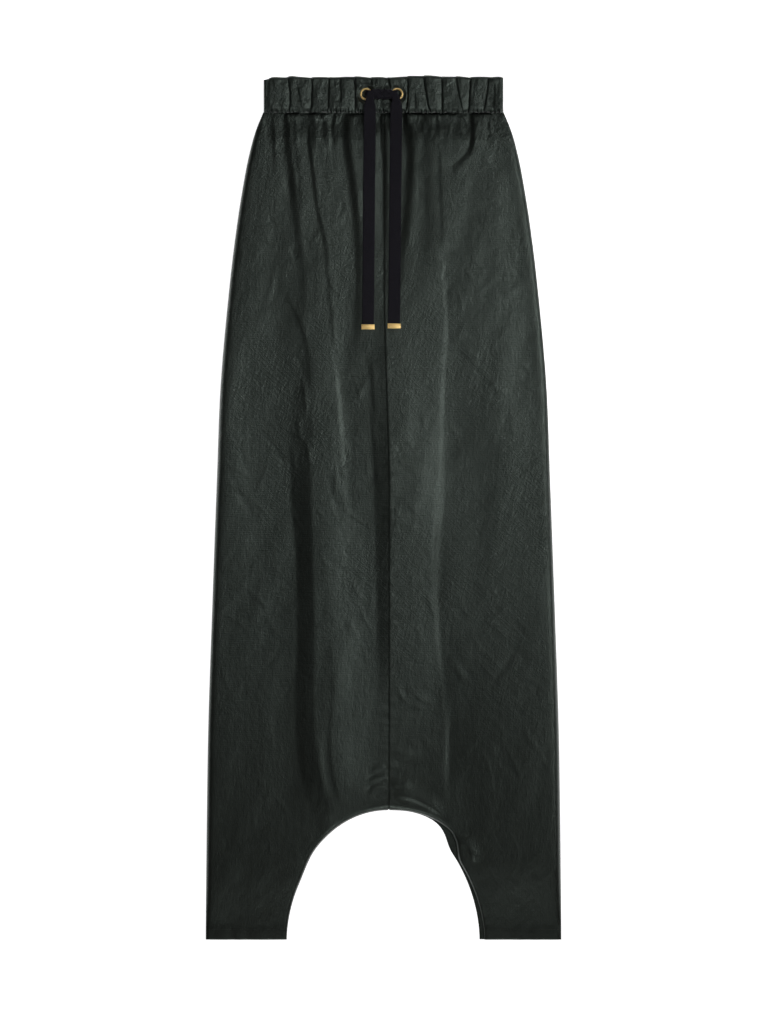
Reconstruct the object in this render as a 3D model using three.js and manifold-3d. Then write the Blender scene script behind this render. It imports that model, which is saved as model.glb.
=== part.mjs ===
// Satin harem pants with a gathered drawstring waist, laid flat on a table, front side up.
// Millimetres. +X is the right of the laid garment, +Y runs from the hems to the waist, +Z up off the table.
// The origin lies on the table under the middle of the garment.
// Heights on the cloth are read at (x, down), where down is the distance below the top of the waistband.

import * as THREE from "three";
import { mergeVertices } from "three/addons/utils/BufferGeometryUtils.js";
import Module from "manifold-3d";

const wasm = await Module();
wasm.setup();

// ---------- Driving dimensions ----------

const length = 1050; // top of the waistband to the hems
const bandHeight = 45; // drawn-in casing with its elastic
const bandHalfWidth = 145.5; // half of the relaxed waist, laid flat
const seamGap = 0.3; // between pieces that are sewn together
const clothWall = 1.2; // satin, shown as a wall
const bandWall = 3.0; // two layers of satin round an elastic
const bandPuff = 2.2; // how far the cloth stands up between two tucks
const hemDepth = 15; // turned and stitched hem
const hemStep = 0.5; // the doubled cloth of the hem
const crotchDown = 893; // drop of the crotch, from the top of the waistband
const crotchX = 6; // the centre seam wanders this far to the right
const hemInner = 118.5; // half of the gap between the two hems
const edgeRound = 9; // how far in from its edge the cloth reaches its full loft

// Half width of the trousers below the waistband.
const sideTable = [
  { down: 45, half: 146 },
  { down: 67, half: 155 },
  { down: 98, half: 163.5 },
  { down: 143, half: 172 },
  { down: 204, half: 181 },
  { down: 280, half: 189.5 },
  { down: 371, half: 197.5 },
  { down: 493, half: 202.5 },
  { down: 645, half: 208 },
  { down: 797, half: 213 },
  { down: 918, half: 214.8 },
  { down: 1050, half: 216 },
];

// The arch between the legs: a superellipse on each side of the crotch, reaching the hem at reach. Its power
// changes from the flank to the crown at the shoulder, a share of the arch's height.
// The back of the right leg shows past its front along the inseam.
const archOf = {
  left: { reach: hemInner + crotchX - 1, flank: 1.84, crown: 2.02, shoulder: 0.58 },
  backRight: { reach: hemInner - crotchX - 1.8, flank: 1.82, crown: 2.42, shoulder: 0.81 },
  frontRight: { reach: hemInner - crotchX + 4, flank: 1.75, crown: 2.42, shoulder: 0.73 },
};
const shoulderBlend = 0.15;

// Folds of the front. Each runs down the line x = route(down) from one end to the other, fading over
// its fade lengths, with its height and its reach to the left and to the right of the line.
const folds = [
  // Falls from the tucks of the waistband.
  { name: "hip tuck", route: [[45, -116.6], [98, -114], [158, -109], [220, -101], [330, -98]],
    height: -4.6, left: 6, right: 8, from: 40, to: 330, fadeIn: 1, fadeOut: 210 },
  { name: "thigh tuck", route: [[45, -88], [122, -85], [170, -79], [235, -68], [300, -64], [400, -55]],
    height: -3, left: 5, right: 5, from: 40, to: 400, fadeIn: 1, fadeOut: 150 },
  { name: "left tape tuck", route: [[45, -46], [122, -38], [165, -34], [220, -31], [330, -32]],
    height: -5, left: 6, right: 7, from: 40, to: 350, fadeIn: 1, fadeOut: 130 },
  { name: "under left tape", route: [[45, -20], [120, -22], [300, -20]],
    height: 2.2, left: 9, right: 8, from: 40, to: 300, fadeIn: 1, fadeOut: 120 },
  { name: "between tapes", route: [[45, 6], [120, 5], [330, 5]],
    height: -3.5, left: 5, right: 5, from: 40, to: 330, fadeIn: 1, fadeOut: 120 },
  { name: "right tape tuck", route: [[45, 26], [110, 32], [188, 26], [243, 21]],
    height: -5, left: 5, right: 8, from: 40, to: 262, fadeIn: 1, fadeOut: 110 },
  { name: "belly trough", route: [[45, 44], [120, 46], [220, 44]],
    height: -2.6, left: 12, right: 12, from: 60, to: 250, fadeIn: 50, fadeOut: 90 },
  { name: "right hip tuck", route: [[45, 104], [75, 107], [97, 104], [113, 89]],
    height: -4.6, left: 5, right: 5, from: 40, to: 128, fadeIn: 1, fadeOut: 50 },
  { name: "left side tuck", route: [[45, -135], [83, -134]],
    height: -3.2, left: 5, right: 5, from: 40, to: 100, fadeIn: 1, fadeOut: 50 },
  { name: "right side tuck", route: [[45, 124], [60, 125], [100, 130]],
    height: -3.2, left: 5, right: 6, from: 40, to: 105, fadeIn: 1, fadeOut: 60 },
  // The long folds of the legs and of the seat that hangs between them.
  { name: "left crest", route: [[120, -140], [450, -160], [900, -170]],
    height: 2.4, left: 30, right: 34, from: 90, to: 1000, fadeIn: 140, fadeOut: 160 },
  { name: "left gully", route: [[250, -100], [371, -95], [431, -94], [492, -99], [614, -95], [796, -93], [880, -80]],
    height: -4.2, left: 20, right: 9, from: 250, to: 915, fadeIn: 190, fadeOut: 70 },
  { name: "seat crest", route: [[330, -76], [450, -72], [620, -73], [796, -72], [880, -62]],
    height: 3.4, left: 8, right: 24, from: 330, to: 900, fadeIn: 170, fadeOut: 70 },
  { name: "thigh ridge", route: [[310, -60], [411, -52], [478, -48], [560, -42]],
    height: 2.8, left: 6, right: 15, from: 290, to: 590, fadeIn: 70, fadeOut: 110 },
  { name: "seam gully", route: [[300, -3], [371, -5], [431, -4], [553, -1], [736, 1], [840, 4]],
    height: -5.2, left: 15, right: 6, from: 290, to: 860, fadeIn: 90, fadeOut: 130 },
  { name: "seam crest", route: [[300, 10], [553, 11], [840, 14]],
    height: 1.8, left: 4, right: 20, from: 330, to: 850, fadeIn: 90, fadeOut: 130 },
  { name: "right crease", route: [[45, 67], [60, 68.5], [178, 71], [323, 77], [383, 71.5], [493, 63], [587, 61],
      [687, 67], [761, 73.5], [811, 77], [912, 80]],
    height: 3.0, left: 14, right: 5, from: 40, to: 905, fadeIn: 30, fadeOut: 60 },
  { name: "right crest", route: [[200, 135], [450, 150], [800, 160]],
    height: 1.8, left: 26, right: 30, from: 160, to: 1000, fadeIn: 160, fadeOut: 180 },
];

// The seat hangs higher than the legs: two long steps, up to the right at the left gully and
// down to the right at the right crease.
const steps = [
  { name: "left wall", route: [[250, -92], [371, -86], [431, -84], [492, -88], [614, -83], [796, -82], [880, -70]],
    rise: 7.5, width: 7, from: 300, to: 900, fadeIn: 170, fadeOut: 80 },
  { name: "right wall", route: [[323, 81], [383, 76], [493, 68], [587, 66], [687, 72], [761, 78], [811, 81], [912, 84]],
    rise: -5.5, width: 6, from: 250, to: 900, fadeIn: 150, fadeOut: 80 },
];
const legLoft = 5.5; // height of the two legs above the flattest cloth
const waistLift = 2.2; // the front starts this much higher, level with the edge of the waistband
const waistFall = 60; // and comes down over this length
const waistHold = 0.2; // share of the loft that is left where the cloth is sewn to the waistband
const waistLoose = 44; // full loft this far below it

// Tucks of the waistband: x at mid height, lean over the height, and how deep.
const tucks = [
  { x: -141, lean: -1, depth: 0.8 },
  { x: -116, lean: 2.5, depth: 1.0 },
  { x: -88, lean: -1, depth: 0.9 },
  { x: -67, lean: -1.5, depth: 0.8 },
  { x: -52, lean: 1, depth: 0.35 },
  { x: -35.5, lean: 2, depth: 1.0 },
  { x: -2, lean: 3, depth: 0.7 },
  { x: 28.5, lean: -1.5, depth: 1.0 },
  { x: 51.5, lean: 7, depth: 0.9 },
  { x: 70.5, lean: 0, depth: 1.0 },
  { x: 90, lean: 8, depth: 0.6 },
  { x: 104, lean: -2.5, depth: 1.0 },
  { x: 124, lean: -5, depth: 0.7 },
];
const tuckHalfWidth = 3.2;
const scallop = 0.9; // the top edge rises between tucks and dips at them

// Eyelets for the drawstring.
const eyelets = [
  { side: "left", x: -21, down: 23.7 },
  { side: "right", x: 16.5, down: 23.7 },
];
const eyeletOuter = 7.6;
const eyeletInner = 4.9;
const eyeletBarrel = 6.0;
const eyeletSeat = 6.6; // height of the pressed cloth under the flange
const eyeletFlange = 1.8;
const eyeletDepth = 2.2;

// Drawstring: a flat tape, scrunched where it is knotted, with a folded metal end on each tail.
const tapeWidth = 14.5;
const tapeWall = 1.2;
const knotWidth = 5.4;
const knotWall = 1.9;
const knotFrom = -14;
const knotTo = 9;
const knotHalfTurns = 3;
const knotRise = 2.2; // radius of the twist, up off the cloth
const knotSpread = 4.6; // radius of the twist, along the cloth
const knotDown = 24.5;
const tails = {
  left: { topX: -16.4, endX: -18.8, endDown: 307.5 },
  right: { topX: 15.6, endX: 12.9, endDown: 306.5 },
};
const tapeClear = 0.4; // the tape lies this far off the cloth
const tapeDip = 0.1; // steepest slope of a tape that bridges a fold
const endPlate = { width: 16, height: 6, thick: 3.4, slot: 1.9, slotDepth: 4.4 };

const colours = { satin: 0x2b302c, tape: 0x19191d, brass: 0xd8ab5a };

// ---------- Derived heights ----------

const waistY = length / 2;
const panelTopDown = bandHeight + seamGap;
const frontRest = clothWall + seamGap; // underside of the front where it lies on the back
const bandUnder = bandWall + seamGap; // underside of the front casing

// ---------- Small helpers ----------

const lerp = THREE.MathUtils.lerp;
const clamp = THREE.MathUtils.clamp;
const smooth = (value, low, high) => THREE.MathUtils.smoothstep(value, low, high);
const yAt = (down) => waistY - down;

// A smooth curve through a table of [key, value] rows, flat beyond its ends.
function curveThrough(rows, key) {
  const last = rows.length - 1;
  if (key <= rows[0][0]) return rows[0][1];
  if (key >= rows[last][0]) return rows[last][1];
  let i = 0;
  while (rows[i + 1][0] < key) i++;
  const slope = (a, b) => (rows[b][1] - rows[a][1]) / (rows[b][0] - rows[a][0]);
  const span = rows[i + 1][0] - rows[i][0];
  const startSlope = slope(Math.max(i - 1, 0), i + 1);
  const endSlope = slope(i, Math.min(i + 2, last));
  const t = (key - rows[i][0]) / span;
  const h01 = t * t * (3 - 2 * t);
  return (
    rows[i][1] * (1 - h01) +
    rows[i + 1][1] * h01 +
    startSlope * span * t * (1 - t) * (1 - t) -
    endSlope * span * t * t * (1 - t)
  );
}

const sideRows = sideTable.map((row) => [row.down, row.half]);
const sideHalf = (down) => curveThrough(sideRows, down);
const seamX = (down) => crotchX * smooth(down, 250, 520);

// ---------- Height of the front ----------

// 0 outside the fold's length, 1 along it.
function alongFold(fold, down) {
  const rise = smooth(down, fold.from, fold.from + fold.fadeIn);
  const fall = 1 - smooth(down, fold.to - fold.fadeOut, fold.to);
  return rise * fall;
}

const archPower = (arch, above) =>
  lerp(arch.flank, arch.crown, smooth(above, arch.shoulder - shoulderBlend, arch.shoulder + shoulderBlend));

// Distance from the arch, zero on its edge.
function archClearance(arch, x, down) {
  const across = Math.abs(x - crotchX) / arch.reach;
  const above = Math.max(length - down, 0) / (length - crotchDown);
  const power = archPower(arch, above);
  const inside = Math.pow(across ** power + above ** power, 1 / power);
  return (inside - 1) * Math.min(arch.reach, length - crotchDown);
}

// Outer face of the front, above the table.
function frontHeight(x, down, arch) {
  let loft = legLoft;
  for (const step of steps) {
    const offset = (x - curveThrough(step.route, down)) / step.width;
    loft += step.rise * alongFold(step, down) * smooth(offset, -1, 1);
  }
  for (const fold of folds) {
    const offset = x - curveThrough(fold.route, down);
    const reach = offset < 0 ? fold.left : fold.right;
    loft += fold.height * alongFold(fold, down) * Math.exp(-((offset / reach) ** 2));
  }
  const fromSide = sideHalf(down) - Math.abs(x);
  const fromArch = archClearance(arch, x, down);
  const rounded = (distance) => 1 - Math.exp(-Math.max(distance, 0) / edgeRound);
  const hem = smooth(length - down, 0, 90) * 0.75 + 0.25;
  const lift = waistLift * Math.exp(-(down - bandHeight) / waistFall);
  const held = lerp(waistHold, 1, smooth(down, bandHeight, bandHeight + waistLoose));
  const doubled = hemStep * (1 - smooth(length - down, hemDepth - 1, hemDepth + 1));
  const free = Math.max(loft, 0.4) * rounded(fromSide) * rounded(fromArch) * hem * held;
  return frontRest + clothWall + free + lift + doubled;
}

// ---------- Solids ----------

// A closed wall between two grids of points with the same rows and columns. Columns run to +X and rows to -Y.
function wallBetween(outer, inner) {
  const rows = outer.length;
  const columns = outer[0].length;
  const points = [...outer.flat(), ...inner.flat()];
  const index = [];
  const quad = (a, b, c, d) => index.push(a, b, c, a, c, d);
  const top = (r, c) => r * columns + c;
  const bottom = (r, c) => rows * columns + r * columns + c;
  for (let r = 0; r < rows - 1; r++) {
    for (let c = 0; c < columns - 1; c++) {
      quad(top(r, c), top(r + 1, c), top(r + 1, c + 1), top(r, c + 1));
      quad(bottom(r, c), bottom(r, c + 1), bottom(r + 1, c + 1), bottom(r + 1, c));
    }
    quad(top(r, 0), bottom(r, 0), bottom(r + 1, 0), top(r + 1, 0));
    quad(top(r, columns - 1), top(r + 1, columns - 1), bottom(r + 1, columns - 1), bottom(r, columns - 1));
  }
  for (let c = 0; c < columns - 1; c++) {
    quad(top(0, c), top(0, c + 1), bottom(0, c + 1), bottom(0, c));
    quad(top(rows - 1, c), bottom(rows - 1, c), bottom(rows - 1, c + 1), top(rows - 1, c + 1));
  }
  const positions = new Float32Array(points.flatMap((p) => [p.x, p.y, p.z]));
  const geometry = new THREE.BufferGeometry();
  geometry.setAttribute("position", new THREE.BufferAttribute(positions, 3));
  geometry.setIndex(index);
  geometry.computeVertexNormals();
  return geometry;
}

function toManifold(geometry) {
  const bare = geometry.clone();
  bare.deleteAttribute("normal");
  bare.deleteAttribute("uv");
  const merged = mergeVertices(bare, 1e-4);
  return new wasm.Manifold(
    new wasm.Mesh({
      numProp: 3,
      vertProperties: new Float32Array(merged.attributes.position.array),
      triVerts: new Uint32Array(merged.index.array),
    }),
  );
}

function fromManifold(solid) {
  const mesh = solid.getMesh();
  const geometry = new THREE.BufferGeometry();
  geometry.setAttribute("position", new THREE.BufferAttribute(mesh.vertProperties, 3));
  geometry.setIndex(new THREE.BufferAttribute(mesh.triVerts, 1));
  geometry.computeVertexNormals();
  return geometry;
}

function makeMesh(name, geometry, colour, roughness, metalness = 0) {
  const material = new THREE.MeshStandardMaterial({ color: colour, roughness, metalness });
  const mesh = new THREE.Mesh(geometry, material);
  mesh.name = name;
  return mesh;
}

// ---------- Trouser panels ----------

// Inner edge of a panel at t from 0 at the waist to 1 at the hem: down the centre seam, then round the arch.
const crotchShare = 0.8;

function innerEdge(side, arch, t) {
  const sign = side === "left" ? -1 : 1;
  if (t <= crotchShare) {
    const down = lerp(panelTopDown, crotchDown, t / crotchShare);
    return { x: seamX(down) + (sign * seamGap) / 2, down };
  }
  const above = Math.sin((Math.PI / 2) * (1 - (t - crotchShare) / (1 - crotchShare)));
  const power = archPower(arch, above);
  const across = arch.reach * Math.max(1 - above ** power, 0) ** (1 / power);
  return { x: crotchX + sign * Math.max(across, seamGap / 2), down: length - (length - crotchDown) * above };
}

function sideEdge(side, t) {
  const down = lerp(panelTopDown, length, t);
  return { x: (side === "left" ? -1 : 1) * sideHalf(down), down };
}

// Rows are closer at the waist, round the crotch and at the hem.
const panelRows = [
  0, 0.004, 0.011, 0.021, 0.035, 0.053, 0.075, 0.1, 0.126, 0.154, 0.184, 0.215, 0.247, 0.28, 0.313, 0.346, 0.38, 0.414,
  0.448, 0.483, 0.518, 0.553, 0.588, 0.623, 0.658, 0.692, 0.725, 0.756, 0.782, 0.8, 0.813, 0.828, 0.845, 0.863, 0.882,
  0.902, 0.923, 0.944, 0.964, 0.984, 1,
];

// Lines of columns that follow the folds, and the number of columns up to the next line.
const routeOf = (name) => [...folds, ...steps].find((fold) => fold.name === name).route;
const shifted = (route, by) => route.map(([down, x]) => [down, x + by]);
const columnLines = {
  left: [
    { columns: 7 },
    { route: [...routeOf("hip tuck").slice(0, 4), ...routeOf("left gully").slice(1)], columns: 2 },
    { route: [[45, -102], [250, -88], ...shifted(routeOf("left gully"), 19).slice(1)], columns: 3 },
    { route: [...routeOf("thigh tuck"), [620, -50], [890, -40]], columns: 4 },
    { route: [...routeOf("left tape tuck"), [620, -24], [890, -16]], columns: 3 },
    { route: [[45, -16], [330, -13], [553, -12], [840, -8]], columns: 3 },
  ],
  right: [
    { columns: 4 },
    { route: [...routeOf("right tape tuck"), [553, 26], [890, 30]], columns: 5 },
    { route: routeOf("right crease"), columns: 2 },
    { route: shifted(routeOf("right crease"), 13), columns: 3 },
    { route: [[45, 104], [97, 105], [300, 118], [900, 130]], columns: 7 },
  ],
};

// Shares across a row, from its left end to its right end.
function rowShares(side, left, right) {
  const lines = columnLines[side];
  const least = 0.015;
  const starts = [0];
  for (const line of lines.slice(1)) {
    let share = 0.5;
    for (let pass = 0; pass < 4; pass++) {
      const down = lerp(left.down, right.down, share);
      share = clamp((curveThrough(line.route, down) - left.x) / (right.x - left.x), 0, 1);
    }
    starts.push(share);
  }
  starts.push(1);
  const counts = lines.map((line) => line.columns);
  const total = counts.reduce((sum, count) => sum + count, 0);
  for (let i = 1, before = 0; i < starts.length - 1; i++) {
    before += counts[i - 1];
    const after = total - before;
    starts[i] = clamp(starts[i], starts[i - 1] + least * counts[i - 1], 1 - least * after);
  }
  const shares = [];
  lines.forEach((line, i) => {
    for (let k = 0; k < line.columns; k++) shares.push(lerp(starts[i], starts[i + 1], k / line.columns));
  });
  return [...shares, 1];
}

function frontPanel(side) {
  const arch = side === "left" ? archOf.left : archOf.frontRight;
  const outer = [];
  const inner = [];
  for (const t of panelRows) {
    const ends = [sideEdge(side, t), innerEdge(side, arch, t)];
    if (side === "right") ends.reverse();
    const [left, right] = ends;
    const shares = rowShares(side, left, right);
    const row = shares.map((share) => {
      const x = lerp(left.x, right.x, share);
      const down = lerp(left.down, right.down, share);
      return new THREE.Vector3(x, yAt(down), frontHeight(x, down, arch));
    });
    outer.push(row);
    inner.push(row.map((p) => new THREE.Vector3(p.x, p.y, Math.max(p.z - clothWall - hemStep, frontRest))));
  }
  return wallBetween(outer, inner);
}

// The back lies flat on the table.
function backPanel(side) {
  const sign = side === "left" ? -1 : 1;
  const arch = side === "left" ? archOf.left : archOf.backRight;
  const outline = new THREE.Shape();
  const sideSteps = 26;
  const archSteps = 22;
  const seamStations = [250, 330, 385, 440, 520];
  outline.moveTo(sign * (seamGap / 2), yAt(panelTopDown));
  outline.lineTo(sign * sideHalf(panelTopDown), yAt(panelTopDown));
  for (let i = 1; i <= sideSteps; i++) {
    const edge = sideEdge(side, (i / sideSteps) ** 1.4);
    outline.lineTo(edge.x, yAt(edge.down));
  }
  for (let i = archSteps; i >= 0; i--) {
    const edge = innerEdge(side, arch, lerp(crotchShare + 1e-6, 1, i / archSteps));
    outline.lineTo(edge.x, yAt(edge.down));
  }
  for (const down of seamStations.toReversed()) {
    outline.lineTo(seamX(down) + (sign * seamGap) / 2, yAt(down));
  }
  return new THREE.ExtrudeGeometry(outline, { depth: clothWall, bevelEnabled: false });
}

// ---------- Waistband ----------

// How much a point of the casing is drawn in by the tucks, from 0 on the puffs to 1 in a deep tuck.
function tuckAt(x, down) {
  let drawn = 0;
  for (const tuck of tucks) {
    const centre = tuck.x + tuck.lean * (down / bandHeight - 0.5);
    drawn += tuck.depth * Math.exp(-(((x - centre) / tuckHalfWidth) ** 2));
  }
  return Math.min(drawn, 1);
}

function frontBand() {
  const shoulders = [-tuckHalfWidth * 1.5, 0, tuckHalfWidth * 1.5];
  const columns = [-bandHalfWidth, -bandHalfWidth + 1.5];
  tucks.forEach((tuck, i) => {
    const before = i === 0 ? -bandHalfWidth : tucks[i - 1].x;
    const room = tuck.x - before;
    if (room > 12) columns.push(before + room / 2);
    if (room > 26) columns.push(before + room * 0.36, before + room * 0.64);
    shoulders.forEach((offset) => columns.push(tuck.x + offset));
  });
  columns.push(134, bandHalfWidth - 1.5, bandHalfWidth);
  columns.sort((a, b) => a - b);
  const kept = columns.filter((x, i) => x <= bandHalfWidth && (i === 0 || x - columns[i - 1] > 0.8));
  const rowDowns = [0, 1.6, 6, 14, 23, 32, 40, 43.6, bandHeight];
  const outer = [];
  const inner = [];
  for (const rowDown of rowDowns) {
    const share = rowDown / bandHeight;
    const middle = Math.min(rowDown, bandHeight - rowDown);
    const edgeShape = Math.sqrt(clamp(middle / 6, 0, 1));
    const outerRow = [];
    const innerRow = [];
    for (const x of kept) {
      const drawn = tuckAt(x, rowDown);
      const edge = 1 - share; // only the top edge is scalloped
      const down = rowDown + edge * scallop * (drawn - 0) * (rowDown < 10 ? 1 : 0.3);
      const fromEnd = Math.sqrt(clamp((bandHalfWidth - Math.abs(x)) / 5, 0, 1));
      const lean = Math.abs(x) > bandHalfWidth - 6 ? 0 : leanAt(x, rowDown);
      const puffed = bandPuff * (1 - drawn) * edgeShape * fromEnd;
      const pinch = bandWall * (0.75 + 0.25 * edgeShape) * (0.7 + 0.3 * fromEnd);
      outerRow.push(new THREE.Vector3(x + lean, yAt(down), bandUnder + pinch + puffed));
      innerRow.push(new THREE.Vector3(x + lean, yAt(down), bandUnder));
    }
    outer.push(outerRow);
    inner.push(innerRow);
  }
  return cutForEyelets(wallBetween(outer, inner));
}

// Columns near a leaning tuck lean with it.
function leanAt(x, down) {
  let sum = 0;
  let weight = 1e-6;
  for (const tuck of tucks) {
    const near = Math.exp(-(((x - tuck.x) / 8) ** 2));
    sum += near * tuck.lean;
    weight += near;
  }
  return (sum / Math.max(weight, 1)) * (down / bandHeight - 0.5);
}

// A pressed flat seat under each flange, and a hole for the barrel.
function cutForEyelets(band) {
  let solid = toManifold(band);
  for (const eyelet of eyelets) {
    const seat = new THREE.CylinderGeometry(eyeletOuter + 0.6, eyeletOuter + 0.6, 10, 28);
    seat.rotateX(Math.PI / 2);
    seat.translate(eyelet.x, yAt(eyelet.down), eyeletSeat + 5);
    const hole = new THREE.CylinderGeometry(eyeletBarrel + 0.3, eyeletBarrel + 0.3, 20, 28);
    hole.rotateX(Math.PI / 2);
    hole.translate(eyelet.x, yAt(eyelet.down), eyeletSeat);
    solid = solid.subtract(toManifold(seat)).subtract(toManifold(hole));
  }
  return fromManifold(solid);
}

// The back of the waistband, pressed flat on the table, with its gathers along the top edge.
function backBand() {
  const outline = new THREE.Shape();
  outline.moveTo(-bandHalfWidth, yAt(bandHeight));
  outline.lineTo(bandHalfWidth, yAt(bandHeight));
  const bumps = 15;
  const pointsPerBump = 4;
  const total = bumps * pointsPerBump;
  for (let i = 0; i <= total; i++) {
    const x = lerp(bandHalfWidth, -bandHalfWidth, i / total);
    const wave = Math.abs(Math.sin((Math.PI * i) / pointsPerBump));
    outline.lineTo(x, yAt(scallop * 1.6 * (1 - wave)));
  }
  return new THREE.ExtrudeGeometry(outline, { depth: bandWall, bevelEnabled: false });
}

// ---------- Eyelets ----------

function eyeletGeometry() {
  const top = seamGap + eyeletFlange;
  const profile = [
    [eyeletInner, -eyeletDepth],
    [eyeletBarrel, -eyeletDepth],
    [eyeletBarrel, seamGap],
    [eyeletOuter - 0.2, seamGap],
    [eyeletOuter, seamGap + 0.45],
    [eyeletOuter - 0.45, seamGap + 1.15],
    [eyeletBarrel + 0.5, top - 0.1],
    [eyeletBarrel - 0.35, top - 0.1],
    [eyeletInner, seamGap + 0.8],
    [eyeletInner, -eyeletDepth],
  ].map(([radius, height]) => new THREE.Vector2(radius, height));
  const geometry = new THREE.LatheGeometry(profile, 28);
  geometry.rotateX(Math.PI / 2);
  return geometry;
}

// ---------- Drawstring ----------

// A closed flat tape through stations { at, normal, width, wall }, eight points round.
function tapeSolid(stations) {
  const section = [
    [0.5, -0.22], [0.5, 0.22], [0.42, 0.5], [-0.42, 0.5], [-0.5, 0.22], [-0.5, -0.22], [-0.42, -0.5], [0.42, -0.5],
  ];
  const points = [];
  stations.forEach((station, i) => {
    const before = stations[Math.max(i - 1, 0)].at;
    const after = stations[Math.min(i + 1, stations.length - 1)].at;
    const tangent = after.clone().sub(before).normalize();
    const across = tangent.clone().cross(station.normal).normalize();
    const normal = across.clone().cross(tangent).normalize();
    for (const [u, v] of section) {
      points.push(
        station.at.clone().addScaledVector(across, u * station.width).addScaledVector(normal, v * station.wall),
      );
    }
  });
  const around = section.length;
  const index = [];
  for (let s = 0; s < stations.length - 1; s++) {
    for (let k = 0; k < around; k++) {
      const a = s * around + k;
      const b = s * around + ((k + 1) % around);
      index.push(a, b + around, b, a, a + around, b + around);
    }
  }
  const end = (stations.length - 1) * around;
  for (let k = 1; k < around - 1; k++) {
    index.push(0, k, k + 1);
    index.push(end, end + k + 1, end + k);
  }
  const geometry = new THREE.BufferGeometry();
  const positions = new Float32Array(points.flatMap((p) => [p.x, p.y, p.z]));
  geometry.setAttribute("position", new THREE.BufferAttribute(positions, 3));
  geometry.setIndex(index);
  geometry.computeVertexNormals();
  return geometry;
}

// The way of one end of the drawstring: out of its eyelet, through the half knot and down its tail.
// The ends swap sides in the knot. clothHeight gives the cloth under a point.
function tapeStations(from, clothHeight) {
  const to = from === "left" ? "right" : "left";
  const eyelet = eyelets.find((e) => e.side === from);
  const tail = tails[to];
  const inward = from === "left" ? 1 : -1;
  const turned = new THREE.Vector3(0, 0, -1); // the tape leaves the knot with its other face up
  const knotLow = eyeletSeat + seamGap + eyeletFlange + tapeClear + knotWall / 2;
  const knotMiddle = knotLow + knotRise;
  const knotTop = knotMiddle + knotRise;
  const stations = [];
  const add = (x, down, z, normal, width = knotWidth, wall = knotWall) =>
    stations.push({ at: new THREE.Vector3(x, yAt(down), z), normal: normal.clone().normalize(), width, wall });

  // Up through the eyelet and over towards the knot.
  const entryX = from === "left" ? knotFrom : knotTo;
  const bendRadius = 2.6;
  const bendSteps = 5;
  add(eyelet.x, eyelet.down, eyeletSeat - 1, new THREE.Vector3(-inward, 0, 0));
  for (let i = 0; i <= bendSteps; i++) {
    const angle = (Math.PI / 2) * (i / bendSteps);
    add(
      eyelet.x + inward * bendRadius * (1 - Math.cos(angle)),
      eyelet.down,
      knotLow - bendRadius * (1 - Math.sin(angle)),
      new THREE.Vector3(-inward * Math.cos(angle), 0, Math.sin(angle)),
    );
  }

  // The twist: three half turns round the other end.
  const twistSteps = 24;
  for (let i = 1; i <= twistSteps; i++) {
    const share = i / twistSteps;
    const x = entryX + inward * (knotTo - knotFrom) * share;
    const angle = -Math.PI / 2 + Math.PI * knotHalfTurns * share;
    const ends = smooth(share, 0, 0.16) * (1 - smooth(share, 0.84, 1));
    const spread = knotSpread * (0.25 + 0.75 * ends);
    add(
      x,
      knotDown - inward * spread * Math.cos(angle),
      knotMiddle + knotRise * Math.sin(angle),
      new THREE.Vector3(0, -inward * Math.cos(angle) * (knotRise / knotSpread), -Math.sin(angle)),
    );
  }

  // Round the corner and down the tail.
  const last = stations.at(-1).at;
  const exitX = last.x;
  const cornerSteps = 6;
  const cornerAcross = Math.abs(tail.topX - exitX);
  const cornerDrop = 9;
  for (let i = 1; i <= cornerSteps; i++) {
    const angle = (Math.PI / 2) * (i / cornerSteps);
    add(
      exitX + Math.sign(tail.topX - exitX) * cornerAcross * Math.sin(angle),
      knotDown + cornerDrop * (1 - Math.cos(angle)),
      knotTop,
      turned,
      lerp(knotWidth, knotWidth + 2, i / cornerSteps),
    );
  }
  const start = knotDown + cornerDrop;
  const tailSteps = 34;
  const opens = 12; // the tape opens out to its full width over this length
  const tailStations = [];
  for (let i = 1; i <= tailSteps; i++) {
    const down = lerp(start, tail.endDown, i / tailSteps);
    const x = lerp(tail.topX, tail.endX, (down - start) / (tail.endDown - start));
    const open = smooth(down, start, start + opens);
    const width = lerp(knotWidth + 2, tapeWidth, open);
    const wall = lerp(knotWall, tapeWall, open);
    const across = [-0.5, -0.25, 0, 0.25, 0.5];
    const alongs = [-0.5, -0.25, 0, 0.25, 0.5];
    const stride = (tail.endDown - start) / tailSteps;
    const heights = alongs.flatMap((k) => across.map((s) => clothHeight(x + s * width, down + k * stride)));
    const below = Math.max(...heights);
    const spare = smooth(down, tail.endDown - 24, tail.endDown) * (endPlate.thick - tapeWall) * 0.5;
    tailStations.push({ x, down, width, wall, z: below + tapeClear + spare + wall / 2 });
  }
  const rests = tailStations.map((station) => station.z);
  tailStations.forEach((station) => {
    const fromKnot = knotTop - (station.down - start) * 0.16;
    const held = tailStations.map((other, j) => rests[j] - tapeDip * Math.abs(other.down - station.down));
    add(station.x, station.down, Math.max(fromKnot, ...held), turned, station.width, station.wall);
  });
  return stations;
}

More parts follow.
